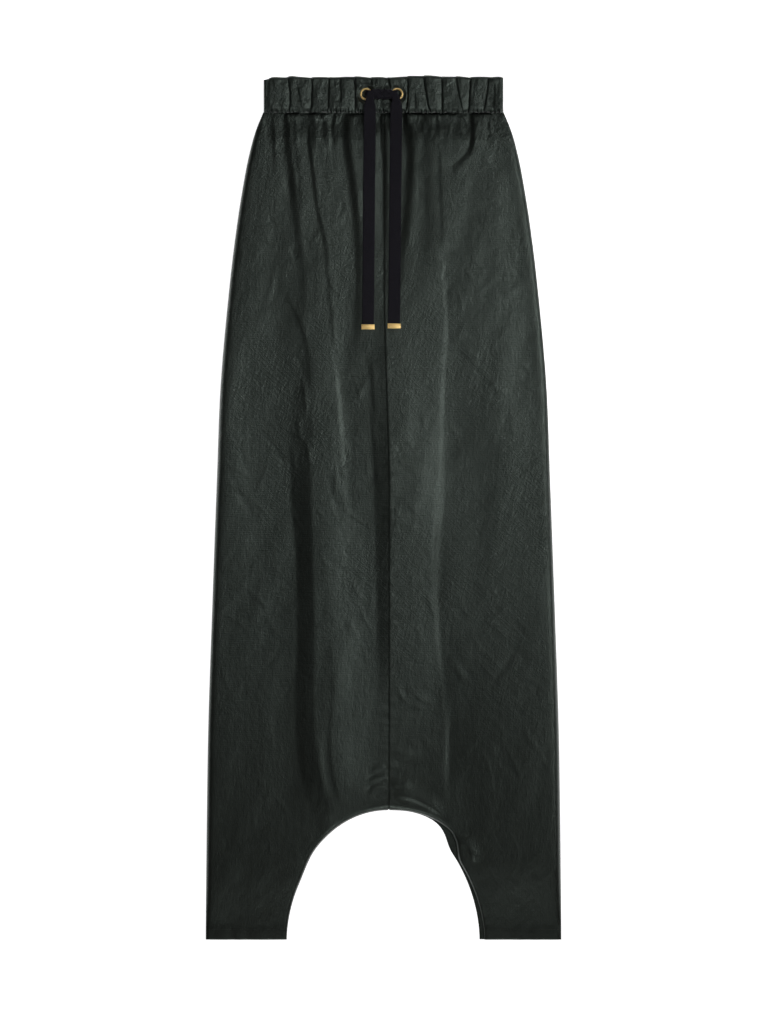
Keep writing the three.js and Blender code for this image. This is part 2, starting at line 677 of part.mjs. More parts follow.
// A folded metal end: a plate bent round the end of the tape, open towards the tape.
function endGeometry() {
  const half = endPlate.thick / 2;
  const slotHalf = endPlate.slot / 2;
  const bevel = 0.5;
  const mouth = 0;
  const profile = new THREE.Shape();
  profile.moveTo(mouth, -half);
  profile.lineTo(mouth, -slotHalf);
  profile.lineTo(-endPlate.slotDepth, -slotHalf);
  profile.lineTo(-endPlate.slotDepth, slotHalf);
  profile.lineTo(mouth, slotHalf);
  profile.lineTo(mouth, half);
  profile.lineTo(-endPlate.height + bevel, half);
  profile.lineTo(-endPlate.height, half - bevel);
  profile.lineTo(-endPlate.height, -half + bevel);
  profile.lineTo(-endPlate.height + bevel, -half);
  const geometry = new THREE.ExtrudeGeometry(profile, { depth: endPlate.width, bevelEnabled: false });
  geometry.translate(0, 0, -endPlate.width / 2);
  // The profile is drawn in (along the tape, off the cloth); turn it to run across the tape.
  const turn = new THREE.Matrix4().makeBasis(
    new THREE.Vector3(0, 1, 0),
    new THREE.Vector3(0, 0, 1),
    new THREE.Vector3(1, 0, 0),
  );
  return geometry.applyMatrix4(turn);
}

// ---------- Assembly ----------

const garment = new THREE.Group();
const satin = (name, geometry) => makeMesh(name, geometry, colours.satin, 0.45);

const cloth = [
  satin("front_left", frontPanel("left")),
  satin("front_right", frontPanel("right")),
  satin("waistband_front", frontBand()),
];
garment.add(...cloth);
garment.add(satin("back_left", backPanel("left")));
garment.add(satin("back_right", backPanel("right")));
garment.add(satin("waistband_back", backBand()));

for (const eyelet of eyelets) {
  const ring = makeMesh("eyelet_" + eyelet.side, eyeletGeometry(), colours.brass, 0.25, 1);
  ring.position.set(eyelet.x, yAt(eyelet.down), eyeletSeat);
  garment.add(ring);
}

// The tails lie on the solids themselves.
const probe = new THREE.Raycaster();
const downwards = new THREE.Vector3(0, 0, -1);
cloth.forEach((mesh) => mesh.updateMatrixWorld());
function clothHeight(x, down) {
  probe.set(new THREE.Vector3(x, yAt(down), 100), downwards);
  const hits = probe.intersectObjects(cloth);
  return hits.length ? hits[0].point.z : 0;
}

for (const from of ["left", "right"]) {
  const to = from === "left" ? "right" : "left";
  const stations = tapeStations(from, clothHeight);
  garment.add(makeMesh("drawstring_" + to, tapeSolid(stations), colours.tape, 0.8));
  const end = makeMesh("drawstring_end_" + to, endGeometry(), colours.brass, 0.25, 1);
  const last = stations.at(-1).at;
  const before = stations.at(-3).at;
  end.position.set(last.x, last.y + endPlate.slotDepth - 0.4, last.z);
  end.rotation.z = Math.atan2(before.x - last.x, last.y - before.y) + Math.PI;
  garment.add(end);
}

export default garment;
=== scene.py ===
# Dark satin harem pants with a drawstring waist, laid flat, front side up.
# Tables are in millimetres: x to the right, down from the top of the waistband, height off the table.
import math

import bpy
import numpy as np
from mathutils import Matrix, Vector
from mathutils.bvhtree import BVHTree


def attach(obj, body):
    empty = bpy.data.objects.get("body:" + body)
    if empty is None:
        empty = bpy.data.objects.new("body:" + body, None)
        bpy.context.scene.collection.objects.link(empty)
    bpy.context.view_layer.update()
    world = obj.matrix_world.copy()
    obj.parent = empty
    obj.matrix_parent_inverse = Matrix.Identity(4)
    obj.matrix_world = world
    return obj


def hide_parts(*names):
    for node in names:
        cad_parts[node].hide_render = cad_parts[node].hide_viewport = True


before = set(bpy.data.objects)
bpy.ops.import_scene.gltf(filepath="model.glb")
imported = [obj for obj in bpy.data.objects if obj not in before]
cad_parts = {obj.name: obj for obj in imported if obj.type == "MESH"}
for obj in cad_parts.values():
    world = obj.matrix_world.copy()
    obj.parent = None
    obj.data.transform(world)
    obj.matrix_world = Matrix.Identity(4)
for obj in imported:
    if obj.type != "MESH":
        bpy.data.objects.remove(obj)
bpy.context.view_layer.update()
mm = 0.001
fullTurn = 6.2832
rng = np.random.default_rng(41)

garment = {
    "length": 1050.0,
    "panelTop": 45.3,
    "crotchDown": 893.0,
    "crotchX": 6.0,
    "cloth": 0.7,
    "frontRest": 1.6,  # underside of the front where it lies on the back
    "hemDepth": 15.0,
    "seamDown": 45,
    "waistLift": 0.9,
    "waistFall": 60.0,
    "waistHold": 0.2,
    "waistLoose": 36.0,
    "crotchShare": 0.8,
    "smoothAngle": 60,
    # half width of the trousers below the waistband
    "side": [
        (45, 146), (67, 155), (98, 163.5), (143, 172), (204, 181), (280, 189.5), (371, 197.5), (493, 202.5),
        (645, 208), (797, 213), (918, 214.8), (1050, 216),
    ],
    # each side of the arch between the legs
    "arch": {
        "left": {"reach": 123.5, "flank": 1.84, "crown": 2.02, "shoulder": 0.58},
        "backRight": {"reach": 110.7, "flank": 1.82, "crown": 2.42, "shoulder": 0.81},
        "frontRight": {"reach": 116.5, "flank": 1.75, "crown": 2.42, "shoulder": 0.73},
    },
}
halfLength = garment["length"] / 2

# The camera is straight above.
view = {"x": 0.6, "y": -5.6, "height": 3.2, "tall": 1.2418, "sensor": 36.0, "clothHeight": 0.008}

cameraData = bpy.data.cameras.new("overhead")
cameraData.sensor_fit = "VERTICAL"
cameraData.sensor_height = view["sensor"]
cameraData.lens = view["sensor"] * (view["height"] - view["clothHeight"]) / view["tall"]
cameraData.clip_end = 20.0
camera = bpy.data.objects.new("overhead", cameraData)
camera.location = (view["x"] * mm, view["y"] * mm, view["height"])
bpy.context.scene.collection.objects.link(camera)
bpy.context.scene.camera = camera

# The main form of the front: lines that run down the cloth, each with (down, x, loft). Between them the
# cloth is a smooth curve from side to side.
formLines = {
    "leftOuter": [
        (45, -134, 2.6), (104, -154, 4.7), (189, -168, 6.0), (274, -178, 6.8), (359, -186, 7.6),
        (444, -190, 7.9), (525, -192, 7.4), (611, -194, 6.2), (760, -196, 5.4), (1050, -190, 5.0),
    ],
    "leftInner": [
        (45, -120, 2.8), (104, -131, 4.5), (189, -144, 5.6), (274, -150, 6.3), (359, -156, 6.2),
        (444, -158, 6.2), (525, -158, 5.7), (611, -156, 5.5), (827, -150, 5.0), (910, -150, 4.9),
        (1050, -160, 5.0),
    ],
    "leftHollow": [
        (45, -110, 2.8), (104, -118, 4.4), (189, -124, 5.3), (274, -130, 5.8), (359, -131, 5.9),
        (453, -132, 5.9), (511, -130, 5.2), (572, -126, 5.2), (687, -124, 5.0), (781, -124, 4.9),
        (866, -122, 4.8), (910, -118, 4.8), (1050, -145, 5.0),
    ],
    "wallFoot": [
        (45, -104, 2.8), (104, -110, 4.4), (189, -114, 5.2), (274, -113, 6.2), (330, -104, 7.0),
        (359, -104, 7.2), (400, -110, 6.9), (444, -114, 6.6), (480, -113, 5.9), (511, -112, 5.3),
        (572, -107, 5.2), (611, -105, 5.4), (687, -105, 5.3), (781, -107, 5.3), (834, -103, 5.4),
        (878, -93, 5.4), (915, -78, 5.0), (1050, -130, 5.0),
    ],
    "wallCrest": [
        (45, -92, 3.0), (104, -100, 4.6), (189, -102, 5.3), (274, -102, 6.7), (330, -91, 8.0),
        (359, -88, 8.9), (400, -86, 9.6), (444, -86, 10.8), (480, -88, 11.4), (511, -88, 11.9),
        (572, -86, 11.4), (611, -85, 11.4), (687, -84, 11.0), (781, -84, 10.8), (834, -80, 10.8),
        (878, -70, 9.4), (915, -56, 6.4), (1050, -124, 5.0),
    ],
    "leftShoulder": [
        (45, -76, 3.0), (104, -78, 4.7), (189, -76, 5.4), (274, -74, 7.2), (330, -72, 8.4), (359, -72, 9.1),
        (400, -68, 10.0), (444, -64, 11.2), (511, -64, 12.0), (560, -70, 11.9), (611, -72, 11.5),
        (650, -68, 11.2), (699, -64, 11.3), (781, -66, 10.8), (834, -62, 10.6), (869, -54, 9.2),
        (910, -50, 6.4), (1050, -122, 5.0),
    ],
    "plateau": [
        (45, -50, 2.9), (104, -52, 4.6), (189, -48, 5.0), (274, -46, 6.6), (359, -42, 7.2), (400, -40, 7.8),
        (444, -38, 8.9), (511, -36, 10.2), (572, -34, 8.9), (611, -34, 8.3), (699, -34, 8.5),
        (781, -34, 7.8), (834, -30, 7.0), (869, -28, 6.8), (910, -46, 6.0), (1050, -120, 5.0),
    ],
    "valleyFar": [
        (45, -26, 2.7), (104, -28, 4.2), (189, -27, 4.6), (274, -26, 7.0), (359, -24, 7.6), (400, -24, 8.2),
        (444, -24, 9.0), (511, -22, 10.1), (572, -20, 8.2), (611, -18, 7.5), (699, -16, 7.0),
        (781, -14, 6.0), (834, -12, 5.2), (869, -14, 5.7), (910, -42, 5.8), (1050, -118, 5.0),
    ],
    "valley": [
        (45, -8, 2.6), (104, -8, 4.0), (189, -8, 4.5), (274, -7, 7.5), (359, -9, 8.4), (400, -9, 9.1),
        (444, -9, 10.0), (480, -10, 10.2), (511, -11, 10.1), (572, -9, 8.2), (611, -8.5, 7.2),
        (660, -7, 6.7), (699, -6.5, 6.6), (740, -6, 6.1), (763, -5, 5.7), (827, -3, 4.7), (869, -1, 5.2),
        (910, -38, 5.6), (1050, -116, 5.0),
    ],
    "seamCrest": [
        (45, 4, 2.7), (104, 4, 4.0), (189, 4, 4.5), (274, 3, 8.0), (359, 4, 9.4), (400, 5, 10.4),
        (444, 7, 12.0), (480, 8, 13.6), (511, 8.2, 13.9), (572, 8.4, 12.4), (611, 8.2, 11.2),
        (660, 7.8, 9.9), (699, 7.4, 9.0), (740, 7, 6.6), (763, 7, 5.3), (827, 8, 4.3), (869, 10, 4.8),
        (910, 40, 5.2), (1050, 124, 5.0),
    ],
    "rightPlateau": [
        (45, 24, 2.8), (104, 25, 4.3), (189, 24, 5.4), (274, 26, 8.4), (359, 24, 9.2), (400, 25, 10.2),
        (444, 26, 11.8), (480, 26, 13.0), (511, 26, 13.2), (572, 26, 12.2), (611, 26, 10.8), (660, 27, 9.5),
        (699, 28, 8.6), (740, 29, 6.0), (763, 29, 4.7), (827, 30, 3.8), (869, 30, 4.6), (910, 52, 5.2),
        (1050, 128, 5.0),
    ],
    "bellyMiddle": [
        (45, 44, 3.0), (104, 46, 4.9), (189, 46, 6.0), (274, 48, 8.1), (359, 46, 8.0), (400, 46, 8.7),
        (444, 45, 10.2), (480, 45, 11.9), (511, 44, 12.5), (572, 44, 11.4), (611, 44, 9.8), (660, 46, 8.5),
        (699, 47, 7.4), (763, 48, 3.9), (827, 48, 3.5), (869, 48, 4.7), (910, 66, 5.2), (1050, 131, 5.0),
    ],
    "ridgeTop": [
        (45, 62, 3.4), (104, 64, 5.4), (189, 64, 6.4), (274, 66, 7.1), (323, 68, 7.0), (382, 64, 6.9),
        (444, 62.5, 8.2), (480, 63, 9.7), (527, 60, 10.8), (572, 57, 10.2), (611, 57, 9.0), (660, 60, 7.5),
        (699, 64, 5.9), (763, 71, 3.3), (827, 76, 3.3), (869, 78, 4.9), (910, 84, 5.2), (1050, 134, 5.0),
    ],
    "ridgeFoot": [
        (45, 72, 3.3), (104, 74, 5.3), (189, 76, 6.2), (274, 79, 6.2), (323, 80, 5.6), (382, 76, 5.3),
        (444, 74, 6.4), (480, 75, 7.5), (527, 73, 7.6), (572, 69, 7.3), (611, 66, 6.7), (660, 67, 6.1),
        (699, 68.6, 5.3), (763, 75.3, 3.4), (827, 79.6, 3.3), (869, 84, 5.0), (910, 92, 5.2),
        (1050, 140, 5.0),
    ],
    "ridgeEnd": [
        (45, 88, 3.2), (104, 90, 5.2), (189, 94, 5.9), (274, 98, 5.8), (359, 96, 4.8), (444, 92, 5.8),
        (480, 88, 6.9), (527, 84, 7.2), (611, 84, 7.2), (660, 86, 6.5), (699, 88, 5.6), (763, 94, 4.5),
        (827, 100, 4.8), (910, 108, 5.6), (1050, 150, 5.0),
    ],
    "rightValley": [
        (45, 104, 3.0), (104, 108, 4.9), (189, 112, 5.6), (274, 114, 5.6), (359, 112, 4.9), (444, 112, 6.0),
        (511, 112, 7.3), (611, 114, 7.4), (699, 116, 6.3), (763, 122, 6.3), (827, 126, 6.5),
        (910, 130, 6.6), (1050, 160, 5.0),
    ],
    "rightSwell": [
        (45, 118, 2.8), (104, 130, 4.5), (189, 134, 5.0), (274, 136, 5.0), (359, 134, 4.7), (444, 142, 6.6),
        (511, 146, 7.9), (611, 148, 7.5), (699, 150, 7.0), (763, 154, 7.9), (827, 158, 8.0),
        (910, 160, 7.6), (1050, 172, 5.0),
    ],
    "rightOuter": [
        (45, 132, 2.4), (104, 150, 3.6), (189, 164, 3.4), (274, 176, 2.8), (359, 184, 2.3), (444, 188, 4.3),
        (511, 190, 6.6), (611, 192, 7.0), (699, 192, 8.2), (827, 194, 8.6), (1050, 190, 5.6),
    ],
}
# From these lines to the next the cloth is a straight slope, with its corners softened by the share.
straightSlopes = {"wallFoot": 0.05, "valley": 0.08, "ridgeTop": 0.5}
# Steps: a narrow line where the cloth rises to the right, or falls where the height is negative. It comes
# back slowly, over the left and right distances.
steps = {
    "hipTuck": {
        "route": [(45, -118), (87, -115.4), (133, -110.6), (189, -104.5), (242, -98.4), (310, -98.4)],
        "height": [(45, 4.4), (70, 4.4), (120, 3.4), (165, 2.0), (240, 1.0), (310, 0.3)],
        "width": 4.0, "left": 20, "right": 12,
    },
    "hipTuckNeighbour": {
        "route": [(45, -109), (80, -107), (130, -101)],
        "height": [(45, 1.4), (90, 1.2), (150, 0.4), (180, 0)],
        "width": 2.4, "left": 8, "right": 8,
    },
    "thighDiagonal": {
        "route": [(262, -122), (301, -102.1), (336, -92.3), (380, -90)],
        "height": [(250, 0), (300, 0.9), (345, 0.8), (400, 0)],
        "width": 2.2, "left": 12, "right": 12,
    },
    "thighTuck": {
        "route": [
            (45, -90), (83, -89.9), (122, -85.1), (165, -80.2), (200, -71.7), (250, -66.8), (275, -65.6),
            (323, -60.8), (359, -57.1), (430, -53),
        ],
        "height": [(45, 1.4), (80, 1.9), (165, 1.4), (260, 0.7), (340, 0.7), (390, 0)],
        "width": 1.7, "left": 9, "right": 8,
    },
    "leftTapeTuck": {
        "route": [(45, -45), (87, -43.7), (122, -38.9), (165, -34), (221, -30.4), (320, -31.6)],
        "height": [(45, 4.8), (120, 4.8), (200, 3.6), (290, 2.0), (340, 0)],
        "width": 5.2, "left": 14, "right": 10,
    },
    "betweenTapes": {
        "route": [(45, 1), (120, 2), (250, 3)],
        "height": [(45, 4.0), (130, 3.6), (230, 1.6), (290, 0)],
        "width": 4.0, "left": 8, "right": 8,
    },
    "rightTapeTuck": {
        "route": [(45, 24.3), (64, 29.2), (110, 31.6), (152, 29), (189, 25.5), (242, 20)],
        "height": [(45, 4.6), (110, 5.0), (180, 4.0), (235, 1.8), (280, 0)],
        "width": 5.6, "left": 8, "right": 24,
    },
    "bellyRise": {
        "route": [(45, 46), (120, 52), (220, 50)],
        "height": [(45, 0.6), (90, 2.2), (180, 2.0), (260, 0)],
        "width": 10, "left": 12, "right": 24,
    },
    "rightHipTuck": {
        "route": [(45, 106.5), (66, 108), (84, 107), (97, 102), (106, 93.6), (114, 86)],
        "height": [(45, 4.4), (80, 4.0), (100, 2.6), (126, 0)],
        "width": 2.4, "left": 5, "right": 12,
    },
    "leftSideTuck": {
        "route": [(45, -136), (83, -133), (110, -133)],
        "height": [(45, 2.2), (80, 1.9), (125, 0)],
        "width": 2.2, "left": 6, "right": 8,
    },
    "rightSideTuck": {
        "route": [(45, 122), (56, 126), (90, 131)],
        "height": [(45, 1.8), (62, 1.6), (90, 0)],
        "width": 2, "left": 5, "right": 6,
    },
    "frontRightTuck": {
        "route": [(45, 64), (60, 66), (80, 67)],
        "height": [(45, 2.2), (58, 2.0), (84, 0)],
        "width": 2, "left": 6, "right": 6,
    },
    "thighRidge": {
        "route": [(300, -62), (335, -59.5), (382, -54.7), (411, -52.2), (478, -47.4), (541, -44)],
        "height": [(320, 0), (345, -0.9), (385, -1.7), (415, -1.7), (470, -0.8), (560, 0)],
        "width": 2.0, "left": 7, "right": 10,
    },
    "rightCrease": {
        "route": [
            (54, 66.8), (178, 70.5), (242, 72.9), (323, 75.5), (382, 71.7), (455, 69.3), (527, 64.4),
            (586, 62.0), (687, 66.8), (761, 73.5), (811, 77.2), (906, 79.7),
        ],
        "height": [
            (54, -0.2), (120, 1.0), (190, 0.5), (242, -0.7), (323, -0.8), (400, -0.7), (455, -0.4),
            (527, -0.4), (570, -0.6), (640, -0.6), (710, -0.5), (830, -0.3), (915, 0),
        ],
        "width": 1.8, "left": 7, "right": 7,
    },
    "valleyShadow": {
        "route": [(340, -17), (372, -14), (400, -12), (430, -11)],
        "height": [(338, 0), (360, 1.3), (395, 1.5), (425, 0.4), (442, 0)],
        "width": 2.6, "left": 8, "right": 6,
    },
    "valleyShadowLow": {
        "route": [(420, -15), (455, -11), (500, -9)],
        "height": [(418, 0), (440, 1.1), (485, 1.2), (508, 0)],
        "width": 2.0, "left": 6, "right": 6,
    },
    "rightDiagonal": {
        "route": [(325, 90), (341, 98.4), (361, 117.9), (385, 137.3), (392, 146)],
        "height": [(330, 0), (345, 0.7), (378, 0.7), (394, 0)],
        "width": 2.4, "left": 8, "right": 8,
    },
    "wallEcho": {
        "route": [(760, -62), (800, -66), (860, -60), (900, -48)],
        "height": [(700, 0), (800, 0.8), (860, 0.9), (900, 0)],
        "width": 2.0, "left": 5, "right": 8,
    },
}
# Short creases: start x and down, end x and down, bend to one side, height and half width.
shortCreases = [
    (-90, 53, -78, 70, 4, -0.72, 2.0), (-74, 53, -80, 68, -2, -0.78, 2.0), (-86, 60, -70, 57, 5, 0.54, 2.4),
    (-66, 50, -62, 66, 1, -0.48, 1.8), (-132, 86, -118, 92, 2, -0.6, 3.0),
    (-100, 60, -99, 84, 1, 0.42, 2.6), (-60, 52, -57, 80, -1, -0.54, 2.2), (52, 50, 50, 74, 2, 0.48, 3.4),
    (84, 52, 80, 82, -2, -0.54, 2.6), (92, 50, 97, 72, 2, 0.48, 2.4), (128, 96, 146, 118, 3, -0.48, 4.0),
    (-120, 120, -112, 150, 2, -0.48, 3.4), (-112, 206, -104, 226, 2, -0.54, 3.0),
    (-100, 366, -95, 412, -2, 0.9, 2.0), (-104, 412, -98, 450, 2, 0.8, 2.0),
    (-96, 440, -91, 476, -2, 0.9, 2.0), (-112, 452, -108, 486, -1, 0.6, 1.8),
    (-66, 486, -50, 540, 3, -0.48, 3.4), (-58, 470, -64, 520, -3, 0.42, 3.0),
    (8, 606, 18, 612, 2, -0.72, 1.8), (8, 622, 22, 634, 3, -0.48, 2.2), (8, 640, 34, 660, 4, 0.42, 3.0),
    (46, 596, 62, 640, 3, -0.42, 3.0), (52, 618, 66, 668, 2, 0.48, 2.6), (10, 736, 56, 772, 7, 0.66, 3.4),
    (20, 738, 44, 770, 5, -0.6, 2.6), (34, 748, 66, 764, 4, 0.48, 2.6), (8, 818, 40, 828, 3, 0.72, 4.0),
    (8, 830, 46, 838, 3, -0.54, 3.4), (7, 857, 34, 862, 3, 1.3, 2.8), (8, 872, 76, 903, -7, 2.0, 4.6),
    (5, 840, -16, 846, 3, 0.8, 1.9), (5, 846, -22, 854, 3, -0.95, 1.8), (5, 851, -20, 860, 3, 0.95, 1.8),
    (5, 857, -24, 868, 4, -0.95, 1.8), (5, 863, -20, 873, 4, 0.85, 1.8), (5, 869, -16, 880, 4, -0.42, 1.8),
    (5, 832, -18, 836, 2, -0.42, 2.2), (-80, 800, -68, 880, 3, 0.3, 2.2),
    (-74, 800, -60, 884, 3, -0.3, 2.4), (84, 740, 78, 900, 2, -0.48, 3.0),
    (-130, 760, -132, 812, 2, -0.25, 3.2), (126, 750, 166, 694, 3, 0.42, 3.4),
    (122, 746, 162, 690, 3, -0.42, 3.4), (78, 705, 110, 748, 3, 0.22, 3.0),
    (84, 700, 114, 740, 2, -0.22, 3.0), (86, 716, 96, 734, 0, 0.25, 2.2),
    (-194, 488, -158, 512, 3, 0.3, 3.0), (-190, 472, -150, 548, 4, -0.3, 3.4),
    (118, 378, 140, 372, 3, 0.54, 3.0), (88, 926, 112, 958, -5, 2.0, 4.0),
    (-108, 942, -94, 956, 3, 0.54, 3.4),
]
# Fine crossing creases, scattered over a region: centre, half size, how many, slants, length and height.
creaseFields = [
    ((-150, 560), (50, 190), 46, (42, -48, 60), (18, 60), 0.32),
    ((-150, 230), (50, 130), 26, (70, -60, 85), (16, 50), 0.34),
    ((130, 300), (60, 180), 44, (40, -50, 75), (14, 44), 0.36),
    ((140, 650), (60, 190), 50, (45, -45, 60), (18, 60), 0.34),
    ((-45, 560), (32, 220), 40, (50, -55, 80), (12, 40), 0.36),
    ((38, 560), (28, 260), 44, (35, -45, 70), (12, 40), 0.36),
    ((30, 180), (45, 110), 22, (80, -75, 60), (14, 40), 0.3),
    ((-60, 180), (45, 110), 26, (82, -70, 60), (14, 44), 0.34),
    ((-160, 880), (44, 130), 24, (60, -50, 85), (16, 50), 0.22),
    ((160, 890), (44, 130), 24, (60, -50, 85), (16, 50), 0.22),
    ((0, 62), (140, 16), 60, (80, -78, 62), (8, 26), 0.5),
]
bandCreases = [((0, 20), (140, 26), 120, (84, 96, 70, 50), (6, 24), 0.2)]
# The gathers that the waist seam holds: folds that start in the seam and run out below it.
gathers = {
    "half": 140.0,
    "spacing": (4.5, 10.5),
    "length": (14, 62),
    "height": (0.25, 0.85),
    "width": (1.5, 3.2),
}


def smooth(value, low, high):
    t = np.clip((value - low) / (high - low), 0, 1)
    return t * t * (3 - 2 * t)


def fade(distance, reach):
    return np.exp(-distance / reach)


def bell(distance, reach):
    return np.exp(-(distance / reach) ** 2)


def roundOff(share):  # a quarter circle, from 0 at an edge to 1
    return np.sqrt(np.clip(1 - (1 - np.clip(share, 0, 1)) ** 2, 0, 1))


def tableSpan(rows, down):
    keys = np.array([row[0] for row in rows], float)
    values = np.array([row[1] for row in rows], float)
    i = np.clip(np.searchsorted(keys, down) - 1, 0, len(keys) - 2)
    return keys, values, i


def along(rows, down):  # a smooth line through a table, level beyond its ends
    keys, values, i = tableSpan(rows, down)
    slope = np.gradient(values, keys)
    span = keys[i + 1] - keys[i]
    t = np.clip((down - keys[i]) / span, 0, 1)
    blend = t * t * (3 - 2 * t)
    bow = slope[i] * span * t * (1 - t) ** 2 - slope[i + 1] * span * t * t * (1 - t)
    return values[i] * (1 - blend) + values[i + 1] * blend + bow


def level(rows, down):  # eases from one row of a table to the next
    keys, values, i = tableSpan(rows, down)
    t = smooth(down, keys[i], keys[i + 1])
    return values[i] * (1 - t) + values[i + 1] * t


def foldRelief(folds, x, down):
    relief = np.zeros(x.shape)
    for fold in folds:
        offset = x - along(fold["route"], down)
        reach = np.where(offset < 0, fold["left"], fold["right"])
        relief += level(fold["height"], down) * np.exp(-np.abs(offset / reach) ** fold["crisp"])
    return relief


def mainForm(x, down):  # a curve through the form lines that doesn't overshoot
    names = list(formLines)
    across = np.stack([along([(row[0], row[1]) for row in line], down) for line in formLines.values()])
    loft = np.stack([along([(row[0], row[2]) for row in line], down) for line in formLines.values()])
    gap = np.maximum(across[1:] - across[:-1], 0.5)
    rise = (loft[1:] - loft[:-1]) / gap
    slope = np.zeros(across.shape)
    near, far = rise[:-1], rise[1:]
    weightNear, weightFar = 2 * gap[1:] + gap[:-1], gap[1:] + 2 * gap[:-1]
    same = near * far > 0
    parts = weightNear / np.where(same, near, 1) + weightFar / np.where(same, far, 1)
    slope[1:-1] = np.where(same, (weightNear + weightFar) / parts, 0)
    height = np.where(x < across[0], loft[0], loft[-1])
    for i in range(len(gap)):
        t = (x - across[i]) / gap[i]
        inside = (t >= 0) & (x < across[i + 1])
        t = np.clip(t, 0, 1)
        blend = t * t * (3 - 2 * t)
        curve = loft[i] * (1 - blend) + loft[i + 1] * blend
        curve += gap[i] * (slope[i] * t * (1 - t) ** 2 - slope[i + 1] * t * t * (1 - t))
        if names[i] in straightSlopes:
            soft = straightSlopes[names[i]]
            curve = loft[i] + (loft[i + 1] - loft[i]) * (t * (1 - soft) + blend * soft)
        height = np.where(inside, curve, height)
    return height


def softRamp(t):
    corner = 0.2
    return (np.sqrt((t + 1) ** 2 + corner) - np.sqrt((t - 1) ** 2 + corner)) / 2


def stepRelief(x, down):
    relief = np.zeros(x.shape)
    for step in steps.values():
        offset = x - along(step["route"], down)
        reach = np.where(offset < 0, step["left"], step["right"])
        ramp = softRamp(offset / step["width"])
        relief += level(step["height"], down) / 2 * ramp * fade(np.abs(offset), reach)
    return relief


def creaseRelief(creases, x, down):  # each crease is steep on its left and falls off slowly on its right
    relief = np.zeros(x.shape)
    for x0, down0, x1, down1, bend, height, half in creases:
        length = math.hypot(x1 - x0, down1 - down0)
        ux, ud = (x1 - x0) / length, (down1 - down0) / length
        t = ((x - x0) * ux + (down - down0) * ud) / length
        side = (x - x0) * -ud + (down - down0) * ux - bend * 4 * t * (1 - t)
        side = side * (-1 if ud > 0 else 1)
        near = (t > -0.1) & (t < 1.1) & (np.abs(side) < half * 5)
        taper = smooth(np.minimum(t, 1 - t) * 3.2, 0, 1)
        wide = half * np.where(side < 0, 0.8, 2.0)
        relief[near] += (height * taper * bell(side, wide))[near]
    return relief


def scatterCreases(fields):
    creases = []
    for centre, half, count, slants, length, height in fields:
        for i in range(count):
            x = centre[0] + rng.uniform(-1, 1) * half[0]
            down = centre[1] + rng.uniform(-1, 1) * half[1]
            slant = math.radians(slants[i % len(slants)] + rng.normal(0, 9))
            reach = rng.uniform(*length) / 2
            dx, dd = math.cos(slant) * reach, math.sin(slant) * reach
            bend = rng.normal(0, 0.06) * reach * 2
            lift = 0.88 * height * rng.uniform(0.3, 1.2) * (1 if rng.random() < 0.7 else -1)
            creases.append((x - dx, down - dd, x + dx, down + dd, bend, lift, rng.uniform(1.1, 2.4)))
    return creases


def seamGathers():
    creases, x = [], -gathers["half"]
    while x < gathers["half"]:
        long = rng.uniform(*gathers["length"]) * (1 if rng.random() < 0.5 else 0.45)
        endX = x + rng.normal(0, 2.5) - x * 0.02
        bend = rng.normal(0, 1.2)
        lift = rng.uniform(*gathers["height"]) * (1 if rng.random() < 0.7 else -1)
        top, end = garment["seamDown"] - 0.55 * long, garment["seamDown"] + long
        creases.append((x, top, endX, end, bend, lift, rng.uniform(*gathers["width"])))
        x += rng.uniform(*gathers["spacing"])
    return creases


fineCreases = scatterCreases(creaseFields)
waistGathers = seamGathers()


def gentleWaves(x, down, seed, scale, strength):  # slow unevenness of cloth that lies loose
    waves = np.random.default_rng(seed)
    relief = np.zeros(x.shape)
    for i in range(14):
        turn = waves.uniform(0, math.pi)
        pitch = scale * waves.uniform(0.5, 1.6)
        phase = waves.uniform(0, 6.28)
        run = x * math.cos(turn) * 1.7 + down * math.sin(turn) * 0.8
        relief += np.sin(run * 6.283 / pitch + phase)
    return relief * strength / 3.7


def gatherJag(x):  # the uneven small gathers along the waist seam
    return np.sin(x * 0.75 + np.sin(x * 0.23) * 2.8) + 0.7 * np.sin(x * 1.31 + np.sin(x * 0.17) * 2)


def archPower(arch, above):
    blend = smooth(above, arch["shoulder"] - 0.15, arch["shoulder"] + 0.15)
    return arch["flank"] * (1 - blend) + arch["crown"] * blend


def archClearance(arch, x, down):
    height = garment["length"] - garment["crotchDown"]
    across = np.abs(x - garment["crotchX"]) / arch["reach"]
    above = np.maximum(garment["length"] - down, 0) / height
    power = archPower(arch, above)
    inside = (across ** power + above ** power) ** (1 / power)
    return (inside - 1) * min(arch["reach"], height)


def sideHalf(down):
    return along(garment["side"], down)


def seamX(down):
    return garment["crotchX"] * smooth(down, 250, 520)


def edgeDistances(arch, x, down):  # from the side, the arch, the waist seam and the hem
    fromSide = np.maximum(sideHalf(down) - np.abs(x), 0)
    fromArch = np.maximum(archClearance(arch, x, down), 0)
    fromWaist = np.maximum(down - garment["panelTop"], 0)
    fromHem = np.maximum(garment["length"] - down, 0)
    return fromSide, fromArch, fromWaist, fromHem


def doubledHem(fromHem):
    return 1 - smooth(fromHem, garment["hemDepth"] - 1.2, garment["hemDepth"] + 0.8)


def riseFrom(distance, share, near, far):  # a steep rise for its share, and a slow one for the rest
    return share * (1 - fade(distance, near)) + (1 - share) * (1 - fade(distance, far))


